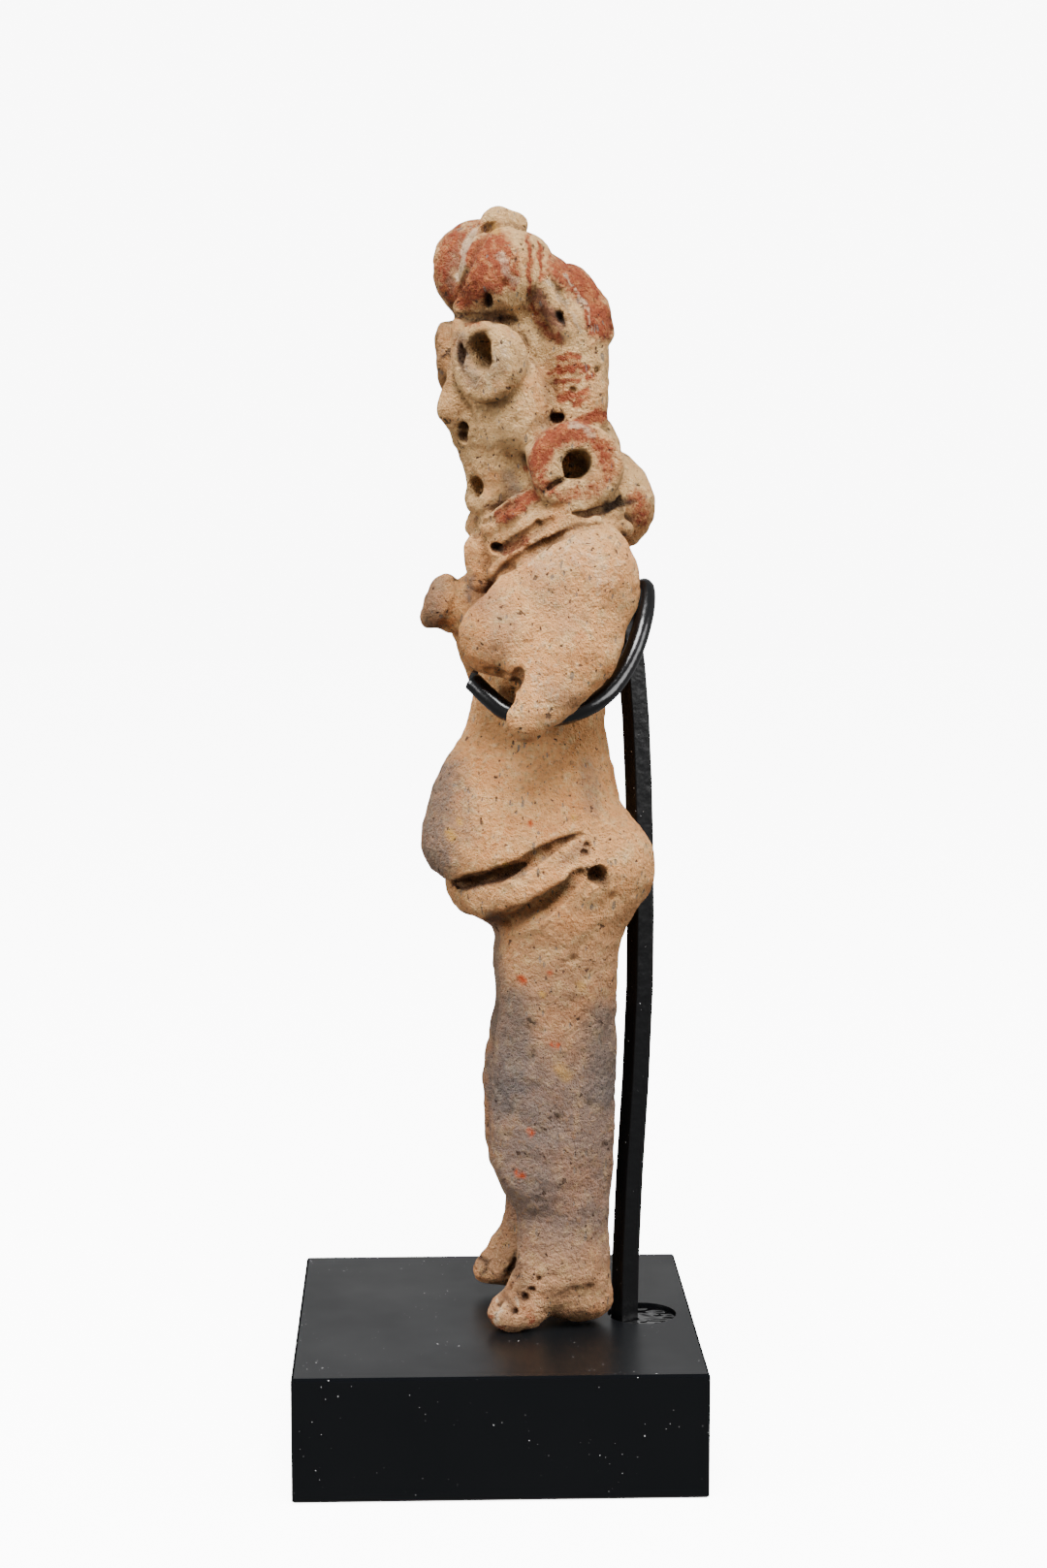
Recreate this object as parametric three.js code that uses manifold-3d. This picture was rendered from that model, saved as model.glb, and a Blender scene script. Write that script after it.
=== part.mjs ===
// A terracotta fertility figure, broken and worn, held by a wire cradle on a rod in a black block.
// Millimetres, +Z up. The origin is the middle of the block's underside. The figure faces -Y and
// its left side is towards +X.

import * as THREE from 'three';
import { mergeVertices } from 'three/addons/utils/BufferGeometryUtils.js';
import Module from 'manifold-3d';

const wasm = await Module();
wasm.setup();

// Display block
const blockWidth = 65;
const blockDepth = 65;
const blockHeight = 20;
const blockBevel = 0.4;

// Blind hole in the block, the resin in it and where it is drilled
const holeDiameter = 11.4;
const holeDepth = 13;
const holeX = 1.5;
const holeFromBack = 8.3;
const holeY = blockDepth / 2 - holeFromBack;
const resinBelowTop = 0.6;

// Square bar of the support rod
const rodSide = 3.3;
const rodCorner = 0.2;
const rodTurn = 30;
const rodOffsetX = 1;
const rodOffsetY = -3.1;
const rodEndClearance = 1;

// Sleeved wire of the cradle
const wireDiameter = 3.1;

// Space kept between pieces that touch
const contactGap = 0.3;

// The figure: its height, where it stands and which way it is turned
const figureHeight = 180;
const figureX = -1.5;
const figureBeforeHole = 15.2;
const figureY = holeY - figureBeforeHole;
const figureTurn = 6;

// The clay is drawn in units, this many to its height
const unitCount = 180;
const unit = figureHeight / unitCount;

// Turn of the trunk and of the head against the legs, in degrees, and the axis of the head
const trunkTurn = 5;
const headTurn = 22;
const headAxis = new THREE.Vector3(0, -5.9, 0);

// Solids

// Welds a closed geometry and hands it to the solid modeller
function solidOf(geometry) {
  const plain = geometry.index ? geometry.toNonIndexed() : geometry.clone();
  for (const name of Object.keys(plain.attributes)) {
    if (name !== 'position') plain.deleteAttribute(name);
  }
  const welded = mergeVertices(plain, 1e-4);
  return new wasm.Manifold(new wasm.Mesh({
    numProp: 3,
    vertProperties: new Float32Array(welded.attributes.position.array),
    triVerts: new Uint32Array(welded.index.array),
  }));
}

function joined(solids) {
  return solids.reduce((whole, next) => whole.add(next));
}

function carved(solid, tools) {
  return tools.reduce((rest, tool) => rest.subtract(tool), solid);
}

function geometryOf(solid) {
  const mesh = solid.getMesh();
  const geometry = new THREE.BufferGeometry();
  const positions = new Float32Array(mesh.numVert * 3);
  for (let vertex = 0; vertex < mesh.numVert; vertex += 1) {
    for (let axis = 0; axis < 3; axis += 1) {
      positions[vertex * 3 + axis] = mesh.vertProperties[vertex * mesh.numProp + axis];
    }
  }
  geometry.setAttribute('position', new THREE.BufferAttribute(positions, 3));
  geometry.setIndex(new THREE.BufferAttribute(new Uint32Array(mesh.triVerts), 1));
  return geometry;
}

// Moves every vertex of a geometry by a rule
function reshaped(geometry, rule) {
  const position = geometry.attributes.position;
  const point = new THREE.Vector3();
  for (let index = 0; index < position.count; index += 1) {
    point.fromBufferAttribute(position, index);
    rule(point);
    position.setXYZ(index, point.x, point.y, point.z);
  }
  return geometry;
}

// Lumps of clay, all in drawing units

// A place in a turned part of the body: sideways to the left, forwards, and up
function turned(axis, degrees) {
  const angle = THREE.MathUtils.degToRad(degrees);
  const turn = new THREE.Matrix4().makeRotationZ(angle);
  const way = (side, front, rise) => new THREE.Vector3(side, -front, rise).applyMatrix4(turn);
  const at = (side, front, rise) => way(side, front, rise).add(axis);
  return { turn, way, at };
}

const legs = turned(new THREE.Vector3(), 0);
const trunk = turned(new THREE.Vector3(), trunkTurn);
const head = turned(headAxis, headTurn);

// An ellipsoid with half sizes sideways, fore and aft, and up, pitched about its sideways axis
function lump(part, centre, halfSizes, pitch = 0) {
  const geometry = new THREE.SphereGeometry(1, 10, 6);
  geometry.rotateX(Math.PI / 2);
  geometry.scale(...halfSizes);
  geometry.rotateX(THREE.MathUtils.degToRad(pitch));
  geometry.applyMatrix4(part.turn);
  const place = part.at(...centre);
  return solidOf(geometry.translate(place.x, place.y, place.z));
}

// A round-ended roll of clay along a smooth line through its stops. A stop is a place and a radius.
// It is pressed flat along a direction if one is given.
function strand(stops, flatten) {
  const line = new THREE.CatmullRomCurve3(stops.map(([place]) => place));
  const size = new THREE.SplineCurve(stops.map(([, radius], index) => new THREE.Vector2(index, radius)));
  const rings = [];
  const capSteps = 2;
  const bodySteps = stops.length - 1;
  const startRadius = stops[0][1];
  const endRadius = stops[stops.length - 1][1];
  for (let step = 0; step < capSteps; step += 1) {
    const angle = (step / capSteps) * Math.PI / 2;
    rings.push({ share: 0, radius: startRadius * Math.sin(angle), beyond: -startRadius * Math.cos(angle) });
  }
  for (let step = 0; step <= bodySteps; step += 1) {
    rings.push({ share: step / bodySteps, radius: size.getPoint(step / bodySteps).y, beyond: 0 });
  }
  for (let step = 1; step <= capSteps; step += 1) {
    const angle = (step / capSteps) * Math.PI / 2;
    const radius = step === capSteps ? 0 : endRadius * Math.cos(angle);
    rings.push({ share: 1, radius, beyond: endRadius * Math.sin(angle) });
  }
  const profile = rings.map(({ radius }, index) => new THREE.Vector2(radius, index));
  const geometry = new THREE.LatheGeometry(profile, 8);
  const aim = new THREE.Quaternion();
  const yWay = new THREE.Vector3(0, 1, 0);
  const offset = new THREE.Vector3();
  return solidOf(reshaped(geometry, (point) => {
    const ring = rings[Math.round(point.y)];
    const along = line.getTangent(ring.share);
    aim.setFromUnitVectors(yWay, along);
    offset.set(point.x, 0, point.z).applyQuaternion(aim);
    if (flatten) offset.addScaledVector(flatten.way, offset.dot(flatten.way) * (flatten.share - 1));
    point.copy(line.getPoint(ring.share)).addScaledVector(along, ring.beyond).add(offset);
  }));
}

function cone(from, to, fromRadius, toRadius) {
  return strand([[from, fromRadius], [to, toRadius]]);
}

// A roll that runs round the body: its stops are given for one side, from the middle outwards
function band(part, stops) {
  const half = (side) => stops.map(
    ([out, front, rise, radius]) => [part.at(out * side, front, rise), radius]);
  return strand([...half(-1).slice(1).reverse(), ...half(1)]);
}

// A pill of clay with a round rim, facing a direction, its height multiplied by the last number
function pill(centre, facing, radius, halfThickness, rim, tall = 1) {
  const profile = [new THREE.Vector2(0, -halfThickness)];
  const steps = 2;
  for (let step = 0; step <= 2 * steps; step += 1) {
    const angle = (step / steps - 1) * Math.PI / 2;
    const height = rim * Math.sin(angle) + Math.sign(step - steps) * (halfThickness - rim);
    profile.push(new THREE.Vector2(radius - rim + rim * Math.cos(angle), height));
  }
  profile.push(new THREE.Vector2(0, halfThickness));
  const geometry = new THREE.LatheGeometry(profile, 12);
  const aim = new THREE.Quaternion();
  aim.setFromUnitVectors(new THREE.Vector3(0, 1, 0), facing.clone().normalize());
  geometry.applyQuaternion(aim);
  geometry.scale(1, 1, tall);
  return solidOf(geometry.translate(centre.x, centre.y, centre.z));
}

// A body of oval sections. A section is its height, its middle sideways, its middle fore and aft,
// its half width, and its half depths in front and behind.
function column(part, sections, rows, around) {
  const bottom = sections[0][0];
  const top = sections[sections.length - 1][0];
  const curve = (term) => new THREE.SplineCurve(
    sections.map((section) => new THREE.Vector2(section[0], section[term])));
  const terms = [1, 2, 3, 4, 5].map(curve);
  const valueAt = (spline, height) => {
    const last = sections.length - 1;
    let index = 0;
    while (index < last - 1 && sections[index + 1][0] < height) index += 1;
    const from = sections[index][0];
    const to = sections[index + 1][0];
    return spline.getPoint((index + (height - from) / (to - from)) / last).y;
  };
  const geometry = new THREE.CylinderGeometry(1, 1, 1, around, rows);
  geometry.rotateX(Math.PI / 2);
  reshaped(geometry, (point) => {
    const height = bottom + (point.z + 0.5) * (top - bottom);
    const [side, middle, halfWidth, front, back] = terms.map((spline) => valueAt(spline, height));
    point.set(
      side + point.x * halfWidth,
      middle + point.y * (point.y < 0 ? front : back),
      height,
    );
  });
  return solidOf(geometry.applyMatrix4(part.turn));
}

const bothSides = [1, -1];

// One leg with its foot. The far foot hangs a little higher and its toe splays further out.
function leg(side) {
  const near = side > 0;
  const toeOut = near ? 9.4 : 10.2;
  const lift = near ? 0 : 1.2;
  const instep = near ? 0 : 2;
  const shin = column(legs, [
    [8, 7.4 * side, 1.2, 5.6, 6.6, 6.8],
    [17.7, 7.2 * side, 1.1, 6.2, 7.7, 7.7],
    [23.7, 7 * side, -0.2, 6.7, 9.1, 9.4],
    [34.7, 6.8 * side, -0.5, 7.3, 10.2, 10.3],
    [46.5, 6.9 * side, -0.1, 7.6, 9.8, 10],
    [60, 7.4 * side, 0.9, 8.2, 10.6, 9.6],
    [68, 7.8 * side, 1.5, 8.6, 10.3, 10.4],
  ], 7, 12);
  return joined([
    shin,
    lump(legs, [7 * side, -4.6, 3.7 + lift], [4.6, 4.7, 3.6]),
    cone(legs.at(7.3 * side, -2.8, 10), legs.at(7.4 * side, 0.6, 5.4 + lift), 5.2, 4),
    cone(legs.at(7.6 * side, 1.2, 8.6 + lift + instep), legs.at(toeOut * side, 7.8, 3 + lift + instep / 2),
      5, 3),
    lump(legs, [toeOut * side, 6.8, 2.4 + lift], [3.7, 4.5, 2.4]),
  ]);
}

// Belly, waist, ribs and neck in one column
function torso() {
  const sections = [
    [50, 11.5, 7.5, 8.6],
    [55.7, 14.4, 9, 10],
    [62.4, 16, 9.2, 10.7],
    [66, 17, 11.6, 11.6],
    [70.9, 17.8, 16.4, 12.4],
    [74.4, 18.2, 19.6, 12.6],
    [77.2, 18.1, 20.8, 12.6],
    [81.6, 17.2, 20.6, 12],
    [86.1, 15.6, 19.5, 11],
    [92.3, 13.5, 16.7, 9.6],
    [98.4, 12.2, 13.4, 8.9],
    [105, 12.2, 11.5, 8.3],
    [112, 15, 10.8, 8.6],
    [120, 17, 10.2, 9.4],
    [126, 15.4, 9.4, 9.4],
    [133, 10, 8, 8],
    [138, 8, 8, 7],
  ];
  return column(trunk, sections.map(([height, width, front, back]) => [height, 0, 0, width, front, back]),
    20, 16);
}

// The roll of flesh between the two creases
function groinRoll() {
  return band(trunk, [
    [0, 12.4, 70.6, 4.4],
    [8, 11.6, 70.6, 4.2],
    [13.6, 7, 72.1, 3.8],
    [16.4, 1.6, 74.8, 2.8],
    [17.2, -3.4, 77.2, 1.6],
  ]);
}

function bellyCrease() {
  return band(trunk, [
    [0, 20.2, 72.6, 1.4],
    [7, 17.5, 72.9, 1.5],
    [12.5, 13, 73.8, 1.6],
    [16.4, 7, 75.6, 1.5],
    [18.4, 2.5, 77.6, 1.2],
    [19, -1.5, 79.6, 0.4],
  ]);
}

function thighCrease(side) {
  return strand([
    [trunk.at(3 * side, 14.2, 63.2), 1.6],
    [trunk.at(9 * side, 12.4, 65.4), 1.6],
    [trunk.at(14.6 * side, 8.4, 68.6), 1.7],
    [trunk.at(17.8 * side, 3.4, 72), 1.5],
    [trunk.at(19 * side, -1, 76.4), 0.5],
  ]);
}

function buttock(side) {
  return lump(trunk, [8.8 * side, -5.3, 74.8], [8.3, 10, 10]);
}

// Shoulder, arm bent to a pointed elbow, and the forearm lying up against the breast. The far
// elbow is broken off shorter.
function arm(side) {
  const flat = { way: trunk.way(1, 0, 0), share: 0.66 };
  const stump = side > 0 ? [trunk.at(20.8, 8.6, 100.4), 3.4] : [trunk.at(-20.6, 5, 101.6), 3.3];
  return joined([
    lump(trunk, [14.4 * side, -3, 122], [8.4, 7.4, 8.8]),
    strand([
      [trunk.at(16.8 * side, -2.5, 119.5), 6.9],
      [trunk.at(19.2 * side, 0.1, 111.2), 6.6],
      [trunk.at(20.6 * side, 4.1, 105.2), 4.6],
      stump,
    ], flat),
    cone(trunk.at(19.8 * side, 6.2, 103.4), trunk.at(14.5 * side, 7.8, 112), 3, 5.4),
    cone(trunk.at(12 * side, 2, 120), trunk.at(11 * side, 6.5, 116), 7.4, 7.2),
  ]);
}

// The left breast has lost its nipple. The right one keeps its pellet.
function breasts() {
  const pelletFacing = trunk.way(-0.12, 0.9, 0.4);
  return joined([
    cone(trunk.at(10.6, 5, 115.2), trunk.at(12.1, 11.3, 113), 7.4, 6),
    cone(trunk.at(-8.5, 3.5, 115.5), trunk.at(-10, 14, 116), 8, 4.2),
    pill(trunk.at(-10, 16.2, 117), pelletFacing, 4.7, 2.2, 1.9),
  ]);
}

// Two collars, the lower one a ledge that runs on round the nape
function collars() {
  return joined([
    band(trunk, [
      [0, 10.4, 128.8, 2.2],
      [6, 10.3, 129.6, 2.5],
      [10.6, 7.9, 132.4, 2.6],
      [13, 2.6, 135.6, 2.2],
      [12, -4, 138, 2],
      [7, -8, 139, 1.8],
    ]),
    band(trunk, [
      [0, 10, 121.8, 1.6],
      [6, 10.4, 122.8, 1.6],
      [11, 8, 125.6, 1.6],
      [14.8, 2.8, 128.8, 1.6],
      [16.2, -3, 130.6, 1.6],
      [13, -8.4, 130, 1.6],
      [8, -10.4, 129, 1.6],
    ]),
  ]);
}

function neck() {
  return joined([
    column(trunk, [
      [120, 0, 0, 12, 11, 10],
      [127, 0, 0, 13, 11, 10.4],
      [134, 0, 0, 12, 9, 9.6],
      [140, 0, -1.4, 9, 7.5, 8],
    ], 3, 10),
    cone(trunk.at(3, 12, 126.2), trunk.at(2.6, 11.9, 121.2), 2.9, 2.2),
  ]);
}

// Narrow jaw, a nose pinched up between the eyes, chin and lip
function face() {
  return joined([
    strand([
      [head.at(0, 1, 158), 9.4],
      [head.at(0, 2, 147), 8.9],
      [head.at(0, 1.9, 138.2), 6.6],
    ]),
    lump(head, [0.2, 5.7, 134.2], [3.8, 2.8, 3.1]),
    lump(head, [0.2, 6.4, 140], [3, 2, 3.6]),
    strand([
      [head.at(0, 7, 166), 3.5],
      [head.at(0, 7.6, 157), 3.2],
      [head.at(0, 10.2, 149), 3],
      [head.at(0, 7.2, 144.6), 3.1],
    ]),
  ]);
}

// An eye is a pill with a hole pushed in beside the nose
const eyes = [
  { centre: head.at(6.8, 8.2, 155.4), facing: head.way(0.46, 0.88, -0.05), radius: 6.1 },
  { centre: head.at(-6, 7.8, 156.6), facing: head.way(-0.46, 0.88, -0.05), radius: 5.5 },
];

function eye({ centre, facing, radius }) {
  return pill(centre, facing, radius, 2.4, 1.5);
}

function faceHoles() {
  const holes = [cone(head.at(1.6, 11, 135.9), head.at(0.8, 6, 135.9), 1.6, 1.3)];
  for (const side of bothSides) {
    holes.push(cone(head.at(7.9 * side, 13, 156.9), head.at(6.8 * side, 6.8, 156.9), 2.7, 2.2));
    holes.push(cone(head.at(2 * side, 11, 144.6), head.at(2 * side, 9, 146.2), 0.9, 0.8));
  }
  return holes;
}

// Piled hair: a crown, a knot on top, and on each side a front lobe, a middle lobe, a rear lobe
// of two rolls tilted back and a thick lock down to the curl
const frontLobes = [
  { centre: [4.7, 4, 169.2], halfSizes: [6.8, 7.8, 7.2] },
  { centre: [-4.9, 3.1, 169.8], halfSizes: [6.8, 7.8, 8.6] },
];

const hairKnot = [
  [[0.2, 5.4, 174.8], 2.2],
  [[0.9, 3.2, 177.34], 2.8],
  [[1.3, 0.8, 176.8], 2.7],
];

function hairHalf(side) {
  return joined([
    lump(head, [7 * side, -0.6, 167.2], [6, 4.6, 5.4], 30),
    strand([
      [head.at(8.8 * side, -5, 166.6), 4.3],
      [head.at(9.6 * side, -7.4, 163.2), 4.3],
      [head.at(9.7 * side, -9, 160.2), 3.3],
    ]),
    strand([
      [head.at(10.8 * side, -1.2, 165), 2.5],
      [head.at(11.8 * side, -3.2, 161.4), 2.8],
      [head.at(11.8 * side, -5.8, 157.6), 2.4],
    ]),
    strand([
      [head.at(9.8 * side, -6, 161), 5.1],
      [head.at(10 * side, -5.8, 154), 5.1],
      [head.at(10.4 * side, -5.4, 146), 5.1],
    ]),
  ]);
}

function hair() {
  return joined([
    lump(head, [0, -1, 165.5], [10.6, 10, 8.4]),
    lump(head, [0, -5, 153], [10.5, 8.5, 16]),
    ...frontLobes.map(({ centre, halfSizes }) => lump(head, centre, halfSizes, 25)),
    strand(hairKnot.map(([place, radius]) => [head.at(...place), radius])),
    lump(head, [1, -16.4, 133.6], [11, 6.8, 8.6], 14),
    lump(head, [1, -11, 141], [10, 6, 8]),
    ...bothSides.map(hairHalf),
  ]);
}

// The curls over the ears: flat rolls with a hole. The far one sits further back.
const curls = [
  { centre: head.at(15.4, -2.2, 139.4), facing: head.way(0.9, 0.42, 0) },
  { centre: head.at(-14.4, -7, 139.4), facing: head.way(-0.95, 0.3, 0) },
];

function curl({ centre, facing }) {
  return pill(centre, facing, 7.5, 3.4, 1.9, 0.92);
}

function curlHole({ centre, facing }) {
  const outer = centre.clone().addScaledVector(facing, 6);
  return cone(outer, centre, 2.7, 2.2);
}

function clayFigure() {
  const clay = joined([
    torso(),
    ...bothSides.map(leg),
    groinRoll(),
    ...bothSides.map(buttock),
    ...bothSides.map(arm),
    breasts(),
    collars(),
    neck(),
    face(),
    hair(),
    ...eyes.map(eye),
    ...curls.map(curl),
  ]);
  const hipPit = cone(trunk.at(21, -4, 76), trunk.at(16.5, -3.6, 76), 1.5, 1.3);
  const cuts = [
    bellyCrease(),
    ...bothSides.map(thighCrease),
    ...faceHoles(),
    ...curls.map(curlHole),
    hipPit,
  ];
  return carved(clay, cuts).scale([unit, unit, unit]);
}

// The stand. Places of the rod and wire are given beside the clay, so they follow its height.

const stance = new THREE.Group();
stance.position.set(figureX, figureY, blockHeight + contactGap);
stance.rotation.z = THREE.MathUtils.degToRad(figureTurn);
stance.updateMatrixWorld();

// The wire, from behind the rod round under the near arm to its cut end below the breast: places
// sideways, backwards and up
const wireStops = [
  [0, 15.7, 119.5],
  [5, 14.4, 115.6],
  [10, 10.6, 108.6],
  [14.3, 5.2, 103.4],
  [15.9, -0.4, 101],
  [15, -6.2, 100.2],
  [12.6, -10.1, 101.2],
  [10.8, -12.3, 103.1],
  [8.4, -14.6, 105.6],
];

// The far prong runs round the other way and stops sooner
const farWireStops = [
  [-5, 14.4, 115.6],
  [-10, 10.6, 108.6],
  [-14.3, 5.2, 103.6],
  [-15.9, -0.4, 101.4],
  [-15.2, -5.8, 102.2],
  [-13.6, -9.4, 104.6],
];
const backOfWire = wireStops[0][1];
const rodHeadRise = 121.5;

// The rod's middle line, from its foot in the hole to its head in front of the wire
const rodHeadClearance = contactGap + wireDiameter / 2 + rodSide * 0.72;
const rodFoot = stance.worldToLocal(new THREE.Vector3(
  holeX + rodOffsetX,
  holeY + rodOffsetY,
  blockHeight - holeDepth + rodEndClearance,
));
const rodLine = new THREE.CatmullRomCurve3([
  rodFoot,
  new THREE.Vector3(4.4, 12.2, 14).multiplyScalar(unit),
  new THREE.Vector3(2.4, 14.5, 52).multiplyScalar(unit),
  new THREE.Vector3(0.8, 14.7, 80).multiplyScalar(unit),
  new THREE.Vector3(0, 13.7, 104).multiplyScalar(unit),
  new THREE.Vector3(0, backOfWire * unit - rodHeadClearance, rodHeadRise * unit),
]);

// A square bar bent along the rod's line, thicker all round by the margin
function squareBar(margin) {
  const half = rodSide / 2 + margin;
  const corner = rodCorner + margin;
  const flat = half - corner;
  const outline = new THREE.Shape();
  outline.absarc(flat, flat, corner, 0, Math.PI / 2);
  outline.absarc(-flat, flat, corner, Math.PI / 2, Math.PI);
  outline.absarc(-flat, -flat, corner, Math.PI, 1.5 * Math.PI);
  outline.absarc(flat, -flat, corner, 1.5 * Math.PI, 2 * Math.PI);
  const bar = new THREE.ExtrudeGeometry(outline, {
    depth: 1, steps: 12, curveSegments: 1, bevelEnabled: false,
  });
  bar.rotateZ(THREE.MathUtils.degToRad(rodTurn - figureTurn));
  const foot = rodLine.getPoint(0).z - margin;
  const top = rodLine.getPoint(1).z + margin;
  return reshaped(bar, (point) => {
    const middle = rodLine.getPoint(point.z);
    point.set(point.x + middle.x, point.y + middle.y,
      THREE.MathUtils.mapLinear(middle.z, foot + margin, top - margin, foot, top));
  });
}

// The wire as a round tube of the given radius, cut square at both ends
function roundWire(radius, extra) {
  const stops = [...farWireStops.slice().reverse(), ...wireStops]
    .map(([side, back, rise]) => trunk.at(side, -back, rise).multiplyScalar(unit));
  const last = stops.length - 1;
  const startWay = stops[0].clone().sub(stops[1]).setLength(extra);
  const endWay = stops[last].clone().sub(stops[last - 1]).setLength(extra);
  stops[0].add(startWay);
  stops[last].add(endWay);
  const section = new THREE.Shape().absarc(0, 0, radius, 0, 2 * Math.PI);
  return new THREE.ExtrudeGeometry(section, {
    steps: 26, curveSegments: 4, bevelEnabled: false,
    extrudePath: new THREE.CatmullRomCurve3(stops),
  });
}

// Block with its edges bevelled and the hole drilled
function blockSolid() {
  const half = [blockWidth / 2, blockDepth / 2].map((size) => size - blockBevel);
  const outline = new THREE.Shape();
  outline.moveTo(-half[0], -half[1]);
  outline.lineTo(half[0], -half[1]);
  outline.lineTo(half[0], half[1]);
  outline.lineTo(-half[0], half[1]);
  outline.closePath();
  const slab = new THREE.ExtrudeGeometry(outline, {
    depth: blockHeight - 2 * blockBevel,
    bevelThickness: blockBevel, bevelSize: blockBevel, bevelSegments: 1,
  });
  slab.translate(0, 0, blockBevel);
  const drill = new THREE.CylinderGeometry(holeDiameter / 2, holeDiameter / 2, holeDepth + 1, 24);
  drill.rotateX(Math.PI / 2);
  drill.translate(holeX, holeY, blockHeight + 1 - (holeDepth + 1) / 2);
  return solidOf(slab).subtract(solidOf(drill));
}

// Resin that fills the hole around the rod's foot
function resinSolid(rodEnvelope) {
  const radius = holeDiameter / 2 - contactGap;
  const depth = holeDepth - contactGap - resinBelowTop;
  const plug = new THREE.CylinderGeometry(radius, radius, depth, 24);
  plug.rotateX(Math.PI / 2);
  plug.translate(holeX, holeY, blockHeight - resinBelowTop - depth / 2);
  return solidOf(plug).subtract(solidOf(rodEnvelope.clone().applyMatrix4(stance.matrixWorld)));
}

function mesh(name, geometry, color, roughness, metalness) {
  const piece = new THREE.Mesh(geometry, new THREE.MeshStandardMaterial({ color, roughness, metalness }));
  piece.name = name;
  return piece;
}

const rodEnvelope = squareBar(contactGap);
const wireEnvelope = solidOf(roundWire(wireDiameter / 2 + contactGap, contactGap));
const figureSolid = carved(clayFigure(), [solidOf(rodEnvelope), wireEnvelope]);
const rodSolid = solidOf(squareBar(0)).subtract(wireEnvelope);

stance.add(
  mesh('figure', geometryOf(figureSolid), 0xb8957a, 0.9, 0),
  mesh('support_rod', geometryOf(rodSolid), 0x0c0c0d, 0.4, 0.2),
  mesh('cradle_wire', geometryOf(solidOf(roundWire(wireDiameter / 2, 0))), 0x08080a, 0.25, 0),
);

const group = new THREE.Group();
group.add(
  mesh('base_block', geometryOf(blockSolid()), 0x17181a, 0.5, 0),
  mesh('rod_setting', geometryOf(resinSolid(rodEnvelope)), 0x050506, 0.12, 0),
  stance,
);

export default group;
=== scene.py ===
# A terracotta fertility figure in a wire cradle on a rod and a black block, dressed around its CAD frame.
# The clay is drawn in millimetres in the figure's own frame: side is towards its left, back is away from
# its face and rise is above its soles. Everything handed to Blender is in metres, in the row frame.

import math

import bpy
import numpy as np
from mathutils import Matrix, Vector


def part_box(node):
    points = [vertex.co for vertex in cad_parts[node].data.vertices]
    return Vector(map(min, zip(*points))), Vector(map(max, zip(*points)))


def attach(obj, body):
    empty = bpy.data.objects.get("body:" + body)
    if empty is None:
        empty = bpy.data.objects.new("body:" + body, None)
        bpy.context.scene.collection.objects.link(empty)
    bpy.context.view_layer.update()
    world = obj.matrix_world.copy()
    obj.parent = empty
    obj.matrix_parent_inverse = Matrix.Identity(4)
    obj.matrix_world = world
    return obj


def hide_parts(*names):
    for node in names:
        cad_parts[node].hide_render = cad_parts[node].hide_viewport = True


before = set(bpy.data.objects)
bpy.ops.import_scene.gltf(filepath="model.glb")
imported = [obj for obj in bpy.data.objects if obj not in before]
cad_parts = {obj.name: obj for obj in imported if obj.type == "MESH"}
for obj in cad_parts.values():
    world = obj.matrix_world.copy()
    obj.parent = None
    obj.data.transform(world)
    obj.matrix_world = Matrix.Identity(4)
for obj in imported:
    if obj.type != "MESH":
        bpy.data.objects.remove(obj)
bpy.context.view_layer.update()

MM = 0.001

# The photograph and the camera that took it, in pixels, degrees and millimetres of the row frame

PHOTO_HEIGHT = 1617
PHOTO_CENTRE = (540, 808.5)
FOCAL_PIXELS = 2949
CAMERA_PLACE = (459.4, -11.8, 167.1)
CAMERA_YAW = math.radians(2.05)
CAMERA_PITCH = math.radians(7.29)
SENSOR = 36

camera_view = np.array([
    -math.cos(CAMERA_YAW) * math.cos(CAMERA_PITCH),
    math.sin(CAMERA_YAW) * math.cos(CAMERA_PITCH),
    -math.sin(CAMERA_PITCH),
])
camera_right = np.array([math.sin(CAMERA_YAW), math.cos(CAMERA_YAW), 0.0])
camera_up = np.cross(camera_right, camera_view)

# Where the figure stands and how it is turned

FIGURE_PLACE = np.array([-1.5, 9.0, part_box("figure")[0].z / MM])
FIGURE_TURN = 6
TRUNK_TURN = 5
HEAD_TURN = 22
HEAD_AXIS = (0.0, -5.9, 0.0)


def turn_about_z(degrees):
    angle = math.radians(degrees)
    c, s = math.cos(angle), math.sin(angle)
    return np.array([[c, -s, 0.0], [s, c, 0.0], [0.0, 0.0, 1.0]])


def pitched(turn, degrees):
    """The turn, then a pitch about the sideways axis."""
    angle = math.radians(degrees)
    c, s = math.cos(angle), math.sin(angle)
    return turn @ np.array([[1.0, 0.0, 0.0], [0.0, c, -s], [0.0, s, c]])


figure_turn = turn_about_z(FIGURE_TURN)


def row_from_figure(points):
    return np.asarray(points) @ figure_turn.T + FIGURE_PLACE


def figure_from_row(points):
    return (np.asarray(points) - FIGURE_PLACE) @ figure_turn


NEAR, FAR = 1, -1
BOTH = (NEAR, FAR)


class Part:
    """A turned part of the body, in which places are given sideways, forwards and up."""

    def __init__(self, degrees, axis=(0.0, 0.0, 0.0)):
        self.turn = turn_about_z(degrees)
        self.axis = np.array(axis)

    def way(self, side, front, rise=0.0):
        return self.turn @ np.array([side, -front, rise])

    def at(self, side, front, rise):
        return self.way(side, front, rise) + self.axis

    def line(self, side, *stops):
        """Places with radii on one side of the body, from distances outwards, forwards, up and radii."""
        return [(self.at(out * side, front, rise), radius) for out, front, rise, radius in stops]

    def band(self, *stops):
        """The same right across the body, from stops that start at its middle."""
        return self.line(FAR, *reversed(stops[1:])) + self.line(NEAR, *stops)


legs = Part(0)
trunk = Part(TRUNK_TURN)
head = Part(HEAD_TURN, HEAD_AXIS)

# Smooth joining of distances, and smooth curves


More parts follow.
